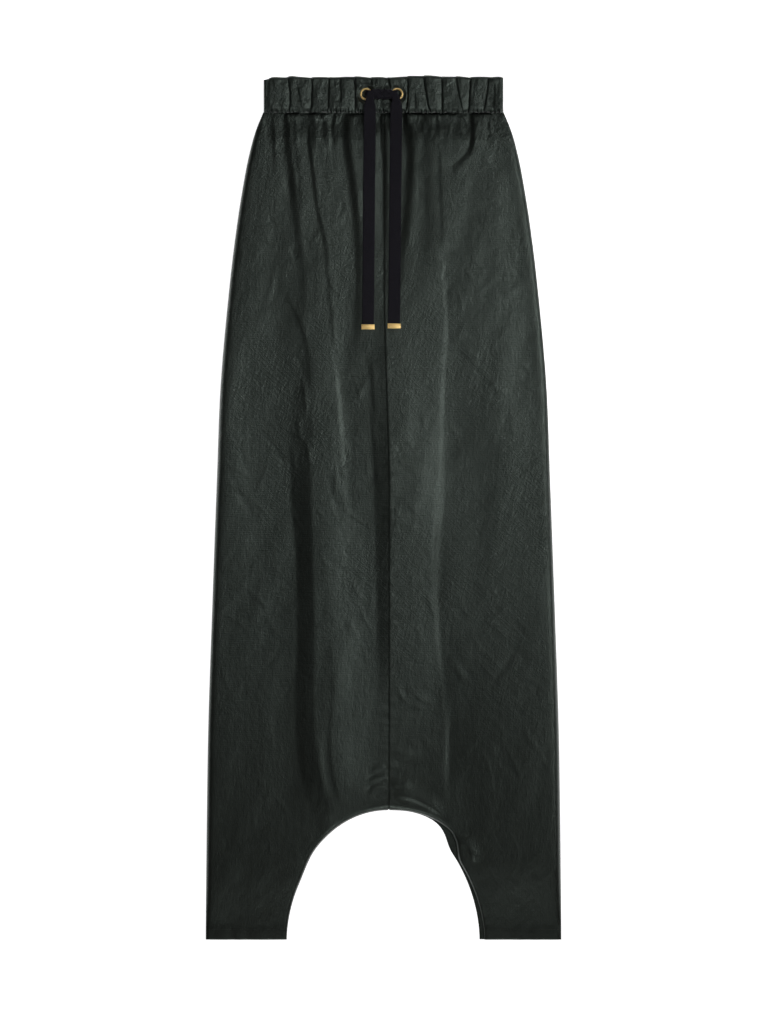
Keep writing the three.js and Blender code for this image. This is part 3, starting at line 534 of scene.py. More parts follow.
frontForm = {
    "sideRise": (0.96, 2.2, 18),
    "archRise": (0.93, 1.1, 10),
    "hemHeld": 0.3,
    "hemFree": 100,
    "lowest": 0.6,
    "fullness": 1.4,
    "fullnessReach": 55,
    "stitchDip": 0.4,
    "pucker": 0.4,
    "seamProud": 0.3,
    "seamDip": 0.75,
    "waistDip": 2.5,
    "edgeDrop": 0.9,
    "waves": ((7, 70, 0.2), (8, 25, 0.06)),  # seed, size and height
}


def frontHeight(x, down, arch, seamSide):
    fromSide, fromArch, fromWaist, fromHem = edgeDistances(arch, x, down)
    fromSeam = np.maximum((x - seamX(down)) * seamSide, 0)
    # the sides, the arch, the hem and the waist seam hold the form down
    rise = riseFrom(fromSide, *frontForm["sideRise"]) * riseFrom(fromArch, *frontForm["archRise"])
    hem = frontForm["hemHeld"] + (1 - frontForm["hemHeld"]) * smooth(fromHem, 0, frontForm["hemFree"])
    free = smooth(down, garment["seamDown"], garment["seamDown"] + garment["waistLoose"])
    hold = garment["waistHold"] + (1 - garment["waistHold"]) * free
    form = np.maximum(mainForm(x, down), frontForm["lowest"])
    form += frontForm["fullness"] * (1 - fade(fromWaist, frontForm["fullnessReach"]))
    fine = creaseRelief(shortCreases, x, down) + creaseRelief(fineCreases, x, down)
    fine += sum(gentleWaves(x, down, *wave) for wave in frontForm["waves"])
    settled = (1 - fade(fromSide, 8)) * (1 - fade(fromArch, 6))
    loft = form * rise * hem * hold + fine * settled * (0.35 + 0.65 * smooth(fromHem, 0, 60))
    loose = creaseRelief(waistGathers, x, down) + stepRelief(x, down)
    loose = loose * (1 - fade(fromSide, 4)) * (1 - fade(fromArch, 5))
    loft = np.maximum(loft + loose, 0.05)
    loft += garment["waistLift"] * fade(down - garment["seamDown"], garment["waistFall"])
    # the doubled hem, its stitching, and the pinch of the seams
    loft += 0.55 * doubledHem(fromHem) * (1 + 0.5 * np.sin(x * 0.21 + np.sin(x * 0.07) * 2))
    loft -= frontForm["stitchDip"] * bell(fromHem - stitches["inset"], 1.1)
    pucker = frontForm["pucker"] * np.sin(down * 0.62 + np.sin(down * 0.11) * 3) * bell(fromSeam, 6)
    loft += pucker * smooth(down, 320, 420)
    if seamSide > 0:  # the right side dips at the seam and stands a little proud beside it
        loft += frontForm["seamProud"] * fade(fromSeam, 5) - frontForm["seamDip"] * bell(fromSeam, 1.0)
    loft -= frontForm["waistDip"] * bell(fromWaist, 1.7 + 1.3 * np.clip(gatherJag(x), 0, 1.6))
    roll = roundOff(np.minimum(np.minimum(fromSide / 1.6, fromArch / 1.4), fromHem / 1.2))
    lowest = 0.02 + 0.5 * roll
    loft = np.maximum(loft - frontForm["edgeDrop"] * (1 - roll), lowest)
    return garment["frontRest"] + garment["cloth"] + loft


def makeActive(piece):
    bpy.ops.object.select_all(action="DESELECT")
    piece.select_set(True)
    bpy.context.view_layer.objects.active = piece


def smoothByAngle(piece, degrees):
    makeActive(piece)
    bpy.ops.object.shade_smooth_by_angle(angle=math.radians(degrees))
    piece.select_set(False)


def newPiece(name, points, faces):
    mesh = bpy.data.meshes.new(name)
    mesh.from_pydata(points, [], faces)
    mesh.validate()
    piece = bpy.data.objects.new(name, mesh)
    bpy.context.scene.collection.objects.link(piece)
    return piece


def spread(length, count, edges):  # places along a length, crowded at both ends
    inner = np.array(edges)
    middle = np.linspace(inner[-1], length - inner[-1], count)
    return np.concatenate([inner[:-1], middle, length - inner[:-1][::-1]]) / length


def innerEdge(sign, arch, t):  # down the centre seam, then along the arch
    share = garment["crotchShare"]
    seam = garment["panelTop"] + (garment["crotchDown"] - garment["panelTop"]) * np.minimum(t / share, 1)
    above = np.sin(math.pi / 2 * (1 - np.clip((t - share) / (1 - share), 0, 1)))
    power = archPower(arch, above)
    across = arch["reach"] * np.maximum(1 - above ** power, 0) ** (1 / power)
    height = garment["length"] - garment["crotchDown"]
    onSeam = t <= share
    down = np.where(onSeam, seam, garment["length"] - height * above)
    x = np.where(onSeam, seamX(seam), garment["crotchX"] + sign * across)
    return x, down


def panelGrid(side, arch, rows, columns):
    sign = -1 if side == "left" else 1
    tall = garment["length"] - garment["panelTop"]
    t = spread(tall, rows, (0, 0.5, 1.2, 2.2, 3.6))
    xIn, downIn = innerEdge(sign, arch, t)
    downOut = garment["panelTop"] + tall * t
    xOut = sign * sideHalf(downOut)
    widths = np.abs(xOut - xIn)
    share = np.array([spread(width, columns, (0, 0.35, 0.9, 1.7, 3.0)) for width in widths])
    x = xIn[:, None] + (xOut - xIn)[:, None] * share
    down = downIn[:, None] + (downOut - downIn)[:, None] * share
    return x, down


def shellFromGrid(name, x, down, top, bottom):
    if x[0, 0] > x[0, -1]:  # columns always run to +X
        x, down, top, bottom = (grid[:, ::-1] for grid in (x, down, top, bottom))
    rows, columns = x.shape
    y = halfLength - down
    points = np.concatenate([np.stack([x, y, z], -1).reshape(-1, 3) for z in (top, bottom)]) * mm
    index = np.arange(rows * columns).reshape(rows, columns)
    corners = [index[:-1, :-1], index[1:, :-1], index[1:, 1:], index[:-1, 1:]]
    upper = np.stack(corners, -1).reshape(-1, 4)
    lower = upper[:, ::-1] + rows * columns
    rim = np.concatenate([index[:, 0], index[-1, 1:], index[-2::-1, -1], index[0, -2:0:-1]])
    after = np.roll(rim, -1)
    edge = np.stack([rim, rim + rows * columns, after + rows * columns, after], -1)
    piece = newPiece(name, points.tolist(), np.concatenate([upper, lower, edge]).tolist())
    smoothByAngle(piece, garment["smoothAngle"])
    return piece


def frontPanel(side):
    arch = garment["arch"]["left" if side == "left" else "frontRight"]
    x, down = panelGrid(side, arch, 392, 96)
    top = frontHeight(x, down, arch, -1 if side == "left" else 1)
    bottom = np.maximum(top - garment["cloth"] - 0.05, garment["frontRest"])
    return shellFromGrid("front" + side.capitalize(), x, down, top, bottom)


backFolds = [
    {"route": [(60, -90), (300, -84), (700, -70), (880, -60)],
     "height": [(50, 0), (200, 1.6), (700, 2.2), (900, 0)], "left": 14, "right": 8, "crisp": 1.6},
    {"route": [(60, -40), (400, -30), (860, -22)],
     "height": [(50, 0), (300, 1.8), (800, 1.4), (880, 0)], "left": 8, "right": 14, "crisp": 1.7},
    {"route": [(60, 48), (300, 52), (700, 40), (880, 38)],
     "height": [(50, 0), (240, 1.8), (760, 2.0), (890, 0)], "left": 14, "right": 9, "crisp": 1.6},
    {"route": [(60, 96), (300, 110), (800, 140)],
     "height": [(50, 0), (200, 1.5), (700, 1.6), (960, 0)], "left": 9, "right": 16, "crisp": 1.7},
    {"route": [(60, -132), (300, -150), (900, -170)],
     "height": [(50, 0), (240, 1.2), (800, 1.6), (980, 0)], "left": 12, "right": 14, "crisp": 1.8},
]


backForm = {
    # between these distances from each edge its creases come to their full height
    "side": (8, 34),
    "arch": (12, 34),
    "waist": (6, 60),
    "hem": (20, 80),
    "highest": 2.6,
    "thick": 0.95,
    "hemThick": 0.2,
    "edgeDrop": 0.35,
    "tuckHeight": 0.5,
    "tuckReach": 16,
}


def backPanel(side):
    arch = garment["arch"]["left" if side == "left" else "backRight"]
    x, down = panelGrid(side, arch, 250, 62)
    fromSide, fromArch, fromWaist, fromHem = edgeDistances(arch, x, down)
    within = smooth(fromSide, *backForm["side"]) * smooth(fromArch, *backForm["arch"])
    within = within * smooth(fromWaist, *backForm["waist"]) * smooth(fromHem, *backForm["hem"])
    lift = foldRelief(backFolds, x, down) + np.maximum(creaseRelief(fineCreases, -x, down), 0) * 1.4
    lift = np.clip(lift, 0, backForm["highest"]) * within
    tucks = np.maximum(np.sin(x * 0.33 + np.sin(x * 0.09) * 2), 0) ** 3
    tucks = tucks * fade(fromWaist, backForm["tuckReach"]) * backForm["tuckHeight"]
    tucks *= smooth(fromSide, 2, 12)
    roll = roundOff(np.minimum(np.minimum(fromSide, fromArch) / 1.2, np.minimum(fromHem, fromWaist) / 1.2))
    puckers = 0.14 * np.sin(down * 0.5 + np.sin(down * 0.13) * 2) * bell(fromArch, 5)
    drop = backForm["edgeDrop"] * (1 - roll)
    bottom = lift * 0.9 + tucks + drop
    top = lift + tucks + backForm["thick"] + backForm["hemThick"] * doubledHem(fromHem) + puckers - drop
    return shellFromGrid("back" + side.capitalize(), x, down, top, bottom)


waistband = {
    "height": 45.0,
    "half": 145.5,
    "wall": 3.0,
    "under": 3.3,
    "puff": 2.2,
    "scallop": 1.0,
    # how far the top edge sinks, from the left end to the right
    "topEdge": [
        (-146, 5.6), (-140, 4.0), (-136, 2.6), (-124, 2.2), (-118, 1.9), (-112, 1.0), (-104, 1.7),
        (-88, 2.3), (-72, 1.9), (-60, 2.3), (-44, 1.5), (-30, 1.4), (-18, 2.2), (0, 2.0), (8, 2.6),
        (16, 2.0), (27, 0.9), (40, 0.5), (54, 0.1), (66, 0.8), (72, 1.4), (90, 1.1), (104, 2.0), (118, 1.8),
        (132, 2.3), (140, 1.9), (146, 3.2),
    ],
    # x at mid height, lean over the height, bow, depth, half width, and where it starts and ends as a share
    # of the height
    "tucks": [
        (-140.6, -1, 0, 0.9, 1.3, 0, 1), (-116, 2.5, 2.0, 1.0, 1.2, 0, 1), (-124, 3, 0, 0.35, 1.6, 0.45, 1),
        (-103, 9, 0, 0.4, 1.5, 0.35, 1), (-88, -1, 0.6, 0.95, 1.2, 0, 1), (-67, -1.5, 0, 0.7, 1.2, 0, 1),
        (-52, 1, 0, 0.45, 1.4, 0, 0.8), (-35.5, 2, 0.6, 1.0, 1.3, 0, 1), (-14, 3, 0, 0.8, 1.2, 0, 0.3),
        (10, 12, 0, 0.9, 1.3, 0, 0.42), (27.5, -1.5, 1.6, 1.0, 1.3, 0, 1), (38, 3, 0, 0.5, 1.4, 0.5, 1),
        (51.5, 7.5, -0.6, 1.0, 1.3, 0, 1), (70.5, 0, 0, 1.0, 1.2, 0, 1), (80, -1, 0, 0.35, 1.6, 0, 0.6),
        (92, 9.5, -1.2, 0.8, 1.3, 0, 1), (104, -2.5, 0, 1.0, 1.2, 0, 1), (124, -6, 1.0, 0.75, 1.4, 0.12, 1),
        (134, -2, 0, 0.4, 1.6, 0.3, 1),
    ],
}
eyelets = {
    "outer": 7.6,
    "seat": 6.6,
    "ring": 0.3,  # the flange starts this far over the seat
    "flange": 1.8,
    "hole": 5.6,
    "down": 23.7,
    "left": -21.0,
    "right": 16.5,
}


def tuckDepth(x, down):
    share = down / waistband["height"]
    drawn = np.zeros(x.shape)
    for middle, lean, bow, depth, half, top, end in waistband["tucks"]:
        centre = middle + lean * (share - 0.5) + bow * 4 * share * (1 - share)
        run = smooth(share, top - 0.12, top + 0.02)
        if end < 1:
            run = run * (1 - smooth(share, end - 0.14, end + 0.06))
        offset = np.abs((x - centre) / half) * np.where(x < centre, 0.17, 1.25)
        pinch = 0.9 * np.exp(-offset ** 1.2) + 0.1 * bell(offset, 4.0)
        drawn = np.maximum(drawn, depth * run * pinch)
    return np.clip(drawn, 0, 1)


def bandGrid(columns, rows):
    half, tall = waistband["half"], waistband["height"]
    xs = spread(2 * half, columns, (0, 0.4, 1.0, 1.8, 2.8)) * 2 * half - half
    downs = spread(tall, rows, (0, 0.25, 0.7, 1.3, 2.0)) * tall
    x, down = np.meshgrid(xs, downs)
    return x, down, roundOff(down / 4.5), roundOff((half - np.abs(x)) / 4)


def frontBand():
    x, down, crown, ends = bandGrid(470, 54)
    fromSeam = waistband["height"] - down
    drawn = tuckDepth(x, down)
    swell = waistband["puff"] * (1 - drawn) ** 0.8
    ripple = creaseRelief(scatterCreases(bandCreases), x, down) + gentleWaves(x, down * 0.6, 11, 26, 0.12)
    foot = 0.45 + 0.55 * smooth(fromSeam, 0, 5)
    body = waistband["wall"] * (0.3 + 0.7 * np.minimum(crown, ends)) * (0.75 + 0.25 * smooth(fromSeam, 0, 3))
    relief = (swell + ripple) * foot * crown * ends + 0.04 * (down - 12) * ends
    jag = gatherJag(x)
    seamGather = (0.32 * jag - 0.5) * bell(fromSeam, 3.0) * ends
    top = waistband["under"] + body + np.maximum(relief + seamGather, -0.5)
    for side in ("left", "right"):
        away = np.hypot(x - eyelets[side], down - eyelets["down"])
        pressed = 1 - smooth(away, eyelets["outer"] + 0.5, eyelets["outer"] + 5)
        top = top * (1 - pressed) + (eyelets["seat"] - 0.05) * pressed
        top = np.where(away < eyelets["hole"], 4.3, top)
    bottom = np.full(x.shape, waistband["under"]) + 0.7 * (1 - crown)
    wave = (waistband["scallop"] * drawn + along(waistband["topEdge"], x)) * fade(down, 9)
    wave += (0.7 + 0.75 * jag) * fade(fromSeam, 4)
    return shellFromGrid("waistbandFront", x, down + np.maximum(wave, 0), top, bottom)


def backBand():
    x, down, crown, ends = bandGrid(300, 30)
    gather = np.abs(np.sin(x * 0.165 + np.sin(x * 0.05) * 1.6)) ** 0.6
    rim = np.minimum(crown, ends)
    valley = (1 - gather) * smooth(down, 0, 6)
    top = 1.5 + 1.45 * (0.2 + 0.8 * rim)
    bottom = 1.3 * (1 - rim) + 1.1 * valley * rim
    sink = waistband["scallop"] * (1 - gather) * 0.6 + along(waistband["topEdge"], x) + 0.2
    return shellFromGrid("waistbandBack", x, down + sink * fade(down, 9), top, bottom)


stitches = {"length": 2.3, "pitch": 3.1, "thick": 0.42, "inset": 12.6, "sunk": 0.05}

print("cloth shells")
frontLeft, frontRight = frontPanel("left"), frontPanel("right")
backLeft, backRight = backPanel("left"), backPanel("right")
bandFront, bandBack = frontBand(), backBand()
cloth = [frontLeft, frontRight, backLeft, backRight, bandFront, bandBack]

drawstring = {
    "width": 14.5,
    "wall": 1.2,
    "knotWidth": 8.6,
    "knotWall": 2.2,
    "knotFrom": -14.0,
    "knotTo": 9.0,
    "halfTurns": 3,
    "rise": 2.2,
    "spread": 4.6,
    "down": 24.5,
    "bend": 2.6,  # radius out of the eyelet
    "cornerDrop": 9.0,
    "cornerWiden": 2,
    "opens": 6.0,
    "dip": 0.1,
    "fall": 0.16,
    "clear": 0.3,
    "around": 28,
    "flatness": 0.35,
    "stations": {"bend": 8, "knot": 66, "corner": 14, "tail": 150},
    "tails": {
        "left": {"topX": -16.4, "endX": -18.8, "endDown": 307.5},
        "right": {"topX": 15.6, "endX": 12.9, "endDown": 306.5},
    },
}
tapeEnd = {"width": 16.0, "height": 6.0, "thick": 3.4, "slot": 1.9, "slotDepth": 4.4}


def surfaceTree(pieces):
    points, faces = [], []
    for piece in pieces:
        start = len(points)
        points += [vertex.co.copy() for vertex in piece.data.vertices]
        faces += [[start + i for i in polygon.vertices] for polygon in piece.data.polygons]
    return BVHTree.FromPolygons(points, faces)


clothTree = surfaceTree([frontLeft, frontRight, bandFront])


def clothTop(x, down):
    hit = clothTree.ray_cast(Vector((x * mm, (halfLength - down) * mm, 0.1)), Vector((0, 0, -1)))[0]
    return hit.z / mm if hit else 0.0


def tapeRoute(start):  # from its eyelet through the half knot and down the other side
    tail = drawstring["tails"]["right" if start == "left" else "left"]
    inward = 1 if start == "left" else -1
    low = eyelets["seat"] + eyelets["ring"] + eyelets["flange"] + 0.4 + drawstring["knotWall"] / 2
    middle, high = low + drawstring["rise"], low + 2 * drawstring["rise"]
    entry = drawstring["knotFrom"] if start == "left" else drawstring["knotTo"]
    knotWidth, knotWall, down0 = drawstring["knotWidth"], drawstring["knotWall"], drawstring["down"]
    counts = drawstring["stations"]
    stations = []

    def add(x, down, z, normal, width=knotWidth, wall=knotWall, crush=1.0):
        stations.append({"at": Vector((x, halfLength - down, z)), "normal": Vector(normal).normalized(),
                         "width": width, "wall": wall, "crush": crush})

    # up out of the eyelet
    bend = drawstring["bend"]
    add(eyelets[start], eyelets["down"], eyelets["seat"] - 1, (-inward, 0, 0))
    for i in range(counts["bend"] + 1):
        angle = math.pi / 2 * i / counts["bend"]
        add(eyelets[start] + inward * bend * (1 - math.cos(angle)), eyelets["down"],
            low - bend * (1 - math.sin(angle)), (-inward * math.cos(angle), 0, math.sin(angle)))
    # around the other tape
    for i in range(1, counts["knot"] + 1):
        share = i / counts["knot"]
        angle = -math.pi / 2 + math.pi * drawstring["halfTurns"] * share
        ends = float(smooth(share, 0, 0.16) * (1 - smooth(share, 0.84, 1)))
        around = drawstring["spread"] * (0.25 + 0.75 * ends)
        lean = drawstring["rise"] / drawstring["spread"]
        add(entry + inward * (drawstring["knotTo"] - drawstring["knotFrom"]) * share,
            down0 - inward * around * math.cos(angle), middle + drawstring["rise"] * math.sin(angle),
            (0, -inward * math.cos(angle) * lean, -math.sin(angle)))
    # the corner, then down the cloth
    exitX = stations[-1]["at"].x
    across = tail["topX"] - exitX
    for i in range(1, counts["corner"] + 1):
        angle = math.pi / 2 * i / counts["corner"]
        add(exitX + across * math.sin(angle), down0 + drawstring["cornerDrop"] * (1 - math.cos(angle)),
            high, (0, 0, -1), knotWidth + drawstring["cornerWiden"] * i / counts["corner"])
    tailTop = down0 + drawstring["cornerDrop"]
    tailWidth = knotWidth + drawstring["cornerWiden"]
    run = []
    stride = (tail["endDown"] - tailTop) / counts["tail"]
    for i in range(1, counts["tail"] + 1):
        down = tailTop + stride * i
        x = tail["topX"] + (tail["endX"] - tail["topX"]) * (down - tailTop) / (tail["endDown"] - tailTop)
        opened = float(smooth(down, tailTop, tailTop + drawstring["opens"]))
        width = tailWidth + (drawstring["width"] - tailWidth) * opened
        wall = knotWall + (drawstring["wall"] - knotWall) * opened
        below = max(clothTop(x + s * width, down + k * stride)
                    for s in (-0.5, -0.25, 0, 0.25, 0.5) for k in (-0.5, 0, 0.5))
        spare = float(smooth(down, tail["endDown"] - 24, tail["endDown"]))
        rest = below + drawstring["clear"] + spare * (tapeEnd["thick"] - drawstring["wall"]) / 2 + wall / 2
        run.append({"x": x, "down": down, "width": width, "wall": wall, "crush": 1 - opened, "z": rest})
    rests = np.array([r["z"] for r in run])
    downs = np.array([r["down"] for r in run])
    for r in run:
        held = float(np.max(rests - drawstring["dip"] * np.abs(downs - r["down"])))
        z = max(high - (r["down"] - tailTop) * drawstring["fall"], held)
        add(r["x"], r["down"], z, (0, 0, -1), r["width"], r["wall"], r["crush"])
    # the height eases from station to station
    heights = np.array([s["at"].z for s in stations])
    window = np.hanning(13) / np.hanning(13).sum()
    eased = np.convolve(np.pad(heights, 6, mode="edge"), window, mode="valid")
    for i in range(len(stations) - len(run), len(stations)):
        stations[i]["at"].z = max(eased[i], heights[i] - 0.15)
    return stations


def superShare(value, power):  # one half of a superellipse's width
    return math.copysign(abs(value) ** power, value) / 2


def tapeMesh(name, stations):
    around = drawstring["around"]
    points, faces, path, lengths = [], [], [], [0.0]
    for i, station in enumerate(stations):
        before, after = stations[max(i - 1, 0)]["at"], stations[min(i + 1, len(stations) - 1)]["at"]
        tangent = (after - before).normalized()
        across = tangent.cross(station["normal"]).normalized()
        normal = across.cross(tangent).normalized()
        path.append(station["at"] * mm)
        if i:
            lengths.append(lengths[-1] + (station["at"] - stations[i - 1]["at"]).length)
        for k in range(around):
            turn = 2 * math.pi * k / around
            u = superShare(math.cos(turn), drawstring["flatness"])
            v = superShare(math.sin(turn), 0.8)
            fold = station["crush"] * 0.22 * math.sin(u * 15 + 0.6) * (0.7 + 0.3 * math.sin(i * 0.21))
            selvedge = 1 + 0.12 * math.exp(-((abs(u) - 0.46) / 0.05) ** 2) * (1 - station["crush"])
            lift = normal * ((v * selvedge + fold) * station["wall"])
            points.append((station["at"] + across * (u * station["width"]) + lift) * mm)
    for i in range(len(stations) - 1):
        for k in range(around):
            a, b = i * around + k, i * around + (k + 1) % around
            faces.append([a, a + around, b + around, b])
    faces.append(list(range(around)))
    faces.append([(len(stations) - 1) * around + k for k in reversed(range(around))])
    piece = newPiece(name, points, faces)
    mesh = piece.data
    weave = mesh.uv_layers.new(name="weave")  # across and along the tape, in metres
    for loop in mesh.loops:
        ring, k = divmod(loop.vertex_index, around)
        u = superShare(math.cos(2 * math.pi * k / around), drawstring["flatness"])
        weave.data[loop.index].uv = (u * stations[ring]["width"] * mm, lengths[ring] * mm)
    smoothByAngle(piece, 50)
    return piece, path, lengths[-1]


print("drawstring")
routes = {"right": tapeRoute("left"), "left": tapeRoute("right")}
tapes = {side: tapeMesh("drawstring" + side.capitalize(), route) for side, route in routes.items()}


def editFaces(piece):
    makeActive(piece)
    bpy.ops.object.mode_set(mode="EDIT")
    bpy.context.tool_settings.mesh_select_mode = (False, False, True)


def pickFaces(piece, test):
    bpy.ops.mesh.select_all(action="DESELECT")
    bpy.ops.object.mode_set(mode="OBJECT")
    for polygon in piece.data.polygons:
        polygon.select = test(polygon)
    bpy.ops.object.mode_set(mode="EDIT")


def pickedRadius(piece):
    bpy.ops.object.mode_set(mode="OBJECT")
    radius = max(vertex.co.xy.length for vertex in piece.data.vertices if vertex.select)
    bpy.ops.object.mode_set(mode="EDIT")
    return radius


def extrude(x, y, z):
    bpy.ops.mesh.extrude_region_move(TRANSFORM_OT_translate={"value": (x, y, z)})


def applyModifier(piece, name, kind, **values):
    modifier = piece.modifiers.new(name, kind)
    for key, value in values.items():
        setattr(modifier, key, value)
    bpy.context.view_layer.objects.active = piece
    bpy.ops.object.modifier_apply(modifier=modifier.name)


def settle(piece):  # the place goes into the mesh
    makeActive(piece)
    bpy.ops.object.transform_apply(location=True, rotation=True, scale=True)
    piece.select_set(False)


# Each ring of the eyelet: how far it shrinks, and how far it lies above the last one.
eyeletRings = ((0.25, 0.6), (0.55, 0.42), (0.75, 0.1), (0.5, -0.22), (0.35, -0.5))
eyeletBlank = {"depth": 0.5, "barrel": 3.0, "wall": 0.35, "sides": 72}


def makeEyelet(side):
    height = eyelets["seat"] + eyelets["ring"]
    middle = Vector((eyelets[side] * mm, (halfLength - eyelets["down"]) * mm, height * mm))
    bpy.ops.mesh.primitive_cylinder_add(
        vertices=eyeletBlank["sides"], radius=eyelets["outer"] * mm, depth=eyeletBlank["depth"] * mm,
        location=middle + Vector((0, 0, eyeletBlank["depth"] / 2 * mm)))
    piece = bpy.context.active_object
    piece.name = piece.data.name = "eyelet" + side.capitalize()
    editFaces(piece)
    # the flange swells up, rolls over into the hole, and runs down as the barrel
    pickFaces(piece, lambda polygon: polygon.normal.z > 0.9)
    for shrink, lift in eyeletRings:
        extrude(0, 0, lift * mm)
        radius = pickedRadius(piece)
        factor = (radius - shrink * mm) / radius
        bpy.ops.transform.resize(value=(factor, factor, 1), center_override=middle)
    extrude(0, 0, -eyeletBlank["barrel"] * mm)
    bpy.ops.mesh.delete(type="FACE")
    pickFaces(piece, lambda polygon: polygon.normal.z < -0.9 and len(polygon.vertices) > 8)
    bpy.ops.mesh.delete(type="FACE")
    bpy.ops.mesh.select_all(action="SELECT")
    bpy.ops.object.mode_set(mode="OBJECT")
    applyModifier(piece, "wall", "SOLIDIFY", thickness=eyeletBlank["wall"] * mm, offset=-1)
    applyModifier(piece, "round", "SUBSURF", levels=1, render_levels=1)
    settle(piece)
    smoothByAngle(piece, 50)
    return piece


def makeTapeEnd(side):
    route = routes[side]
    last, before = route[-1]["at"], route[-6]["at"]
    bpy.ops.mesh.primitive_cube_add(size=1, location=(0, 0, 0))
    piece = bpy.context.active_object
    piece.name = piece.data.name = "drawstringEnd" + side.capitalize()
    piece.scale = (tapeEnd["width"] * mm, tapeEnd["height"] * mm, tapeEnd["thick"] * mm)
    settle(piece)
    editFaces(piece)
    pickFaces(piece, lambda polygon: polygon.normal.y > 0.9)  # the mouth of the folded plate
    bpy.ops.mesh.inset(thickness=(tapeEnd["thick"] - tapeEnd["slot"]) / 2 * mm)
    extrude(0, -tapeEnd["slotDepth"] * mm, 0)
    bpy.ops.object.mode_set(mode="OBJECT")
    applyModifier(piece, "edges", "BEVEL", width=0.3 * mm, segments=3, limit_method="ANGLE",
                  angle_limit=math.radians(40))
    turn = math.atan2(before.x - last.x, before.y - last.y)
    place = last + Vector((0, tapeEnd["slotDepth"] - 0.4 - tapeEnd["height"] / 2, 0))
    piece.matrix_world = Matrix.Translation(place * mm) @ Matrix.Rotation(-turn, 4, "Z")
    settle(piece)
    smoothByAngle(piece, 40)
    return piece


print("eyelets and tape ends")
rings = {side: makeEyelet(side) for side in ("left", "right")}
ends = {side: makeTapeEnd(side) for side in ("left", "right")}


def makeStitches(name, x0, x1):
    down = garment["length"] - stitches["inset"]
    bpy.ops.mesh.primitive_uv_sphere_add(segments=8, ring_count=6, radius=0.5, location=(0, 0, 0))
    pattern = bpy.context.active_object
    pattern.scale = (stitches["length"] * mm, stitches["thick"] * mm, stitches["thick"] * mm)
    settle(pattern)
    base = np.array([vertex.co for vertex in pattern.data.vertices])
    loops = [list(polygon.vertices) for polygon in pattern.data.polygons]
    points, faces = [], []
    for i in range(int((x1 - x0) / stitches["pitch"])):
        x = x0 + stitches["pitch"] * (i + 0.5)
        start = len(points)
        place = np.array([x, halfLength - down, clothTop(x, down) + stitches["sunk"]])
        points += (base + place * mm).tolist()
        faces += [[start + v for v in loop] for loop in loops]
    bpy.data.objects.remove(pattern)
    piece = newPiece(name, points, faces)
    piece.data.polygons.foreach_set("use_smooth", np.ones(len(piece.data.polygons), bool))
    return piece


print("hem stitches")
hemSpans = {"left": (-213, -119), "right": (126, 214)}
hems = {side: makeStitches("hemStitches" + side.capitalize(), *span) for side, span in hemSpans.items()}


class Socket:  # an output of a shader node that can be reckoned with
    def __init__(self, shader, link):
        self.shader, self.link = shader, link

    def maths(self, operation, other=None):
        node = self.shader.tree.nodes.new("ShaderNodeMath")
        node.operation = operation
        for i, value in enumerate((self, other)):
            if isinstance(value, Socket):
                self.shader.tree.links.new(value.link, node.inputs[i])
            elif value is not None:
                node.inputs[i].default_value = value
        return Socket(self.shader, node.outputs[0])

    def __add__(self, other):
        return self.maths("ADD", other)

    def __sub__(self, other):
        return self.maths("SUBTRACT", other)

    def __mul__(self, other):
        return self.maths("MULTIPLY", other)

    def __pow__(self, other):
        return self.maths("POWER", other)

    def sine(self):
        return self.maths("SINE")

    def clamped(self):
        return self.maths("MAXIMUM", 0.0).maths("MINIMUM", 1.0)


class Shader:
    def __init__(self, name):
        self.material = bpy.data.materials.new(name)
        self.material.use_nodes = True
        self.tree = self.material.node_tree
        self.tree.nodes.clear()

    def node(self, kind, settings=None, output=0, **sockets):  # a socket is named, or numbered as i0
        node = self.tree.nodes.new(kind)
        for key, value in (settings or {}).items():
            setattr(node, key, value)
        for key, value in sockets.items():
            numbered = key[0] == "i" and key[1:].isdigit()
            socket = node.inputs[int(key[1:]) if numbered else key.replace("_", " ")]
            if isinstance(value, Socket):
                self.tree.links.new(value.link, socket)
            else:
                socket.default_value = value
        return Socket(self, node.outputs[output])

    def place(self, source="Object"):
        coordinates = self.tree.nodes.new("ShaderNodeTexCoord")
        return Socket(self, coordinates.outputs[source])

    def axes(self, vector):
        split = self.tree.nodes.new("ShaderNodeSeparateXYZ")
        self.tree.links.new(vector.link, split.inputs[0])
        return [Socket(self, split.outputs[i]) for i in range(3)]

    def stretched(self, vector, scale):
        return self.node("ShaderNodeVectorMath", {"operation": "MULTIPLY"}, i0=vector, i1=scale)

    def noise(self, at, scale, detail=3.0, roughness=0.5):
        vector = self.stretched(at, scale)
        return self.node("ShaderNodeTexNoise", Vector=vector, Scale=1.0, Detail=detail, Roughness=roughness)

    def mix(self, factor, first, second):
        return self.node("ShaderNodeMix", {"data_type": "RGBA"}, output=2, i0=factor, i6=first, i7=second)

    def bump(self, relief):
        return self.node("ShaderNodeBump", Strength=1.0, Distance=1.0, Height=relief)

    def finish(self, **sockets):
        surface = self.node("ShaderNodeBsdfPrincipled", **sockets)
        end = self.tree.nodes.new("ShaderNodeOutputMaterial")
        self.tree.links.new(surface.link, end.inputs[0])
        return self.material


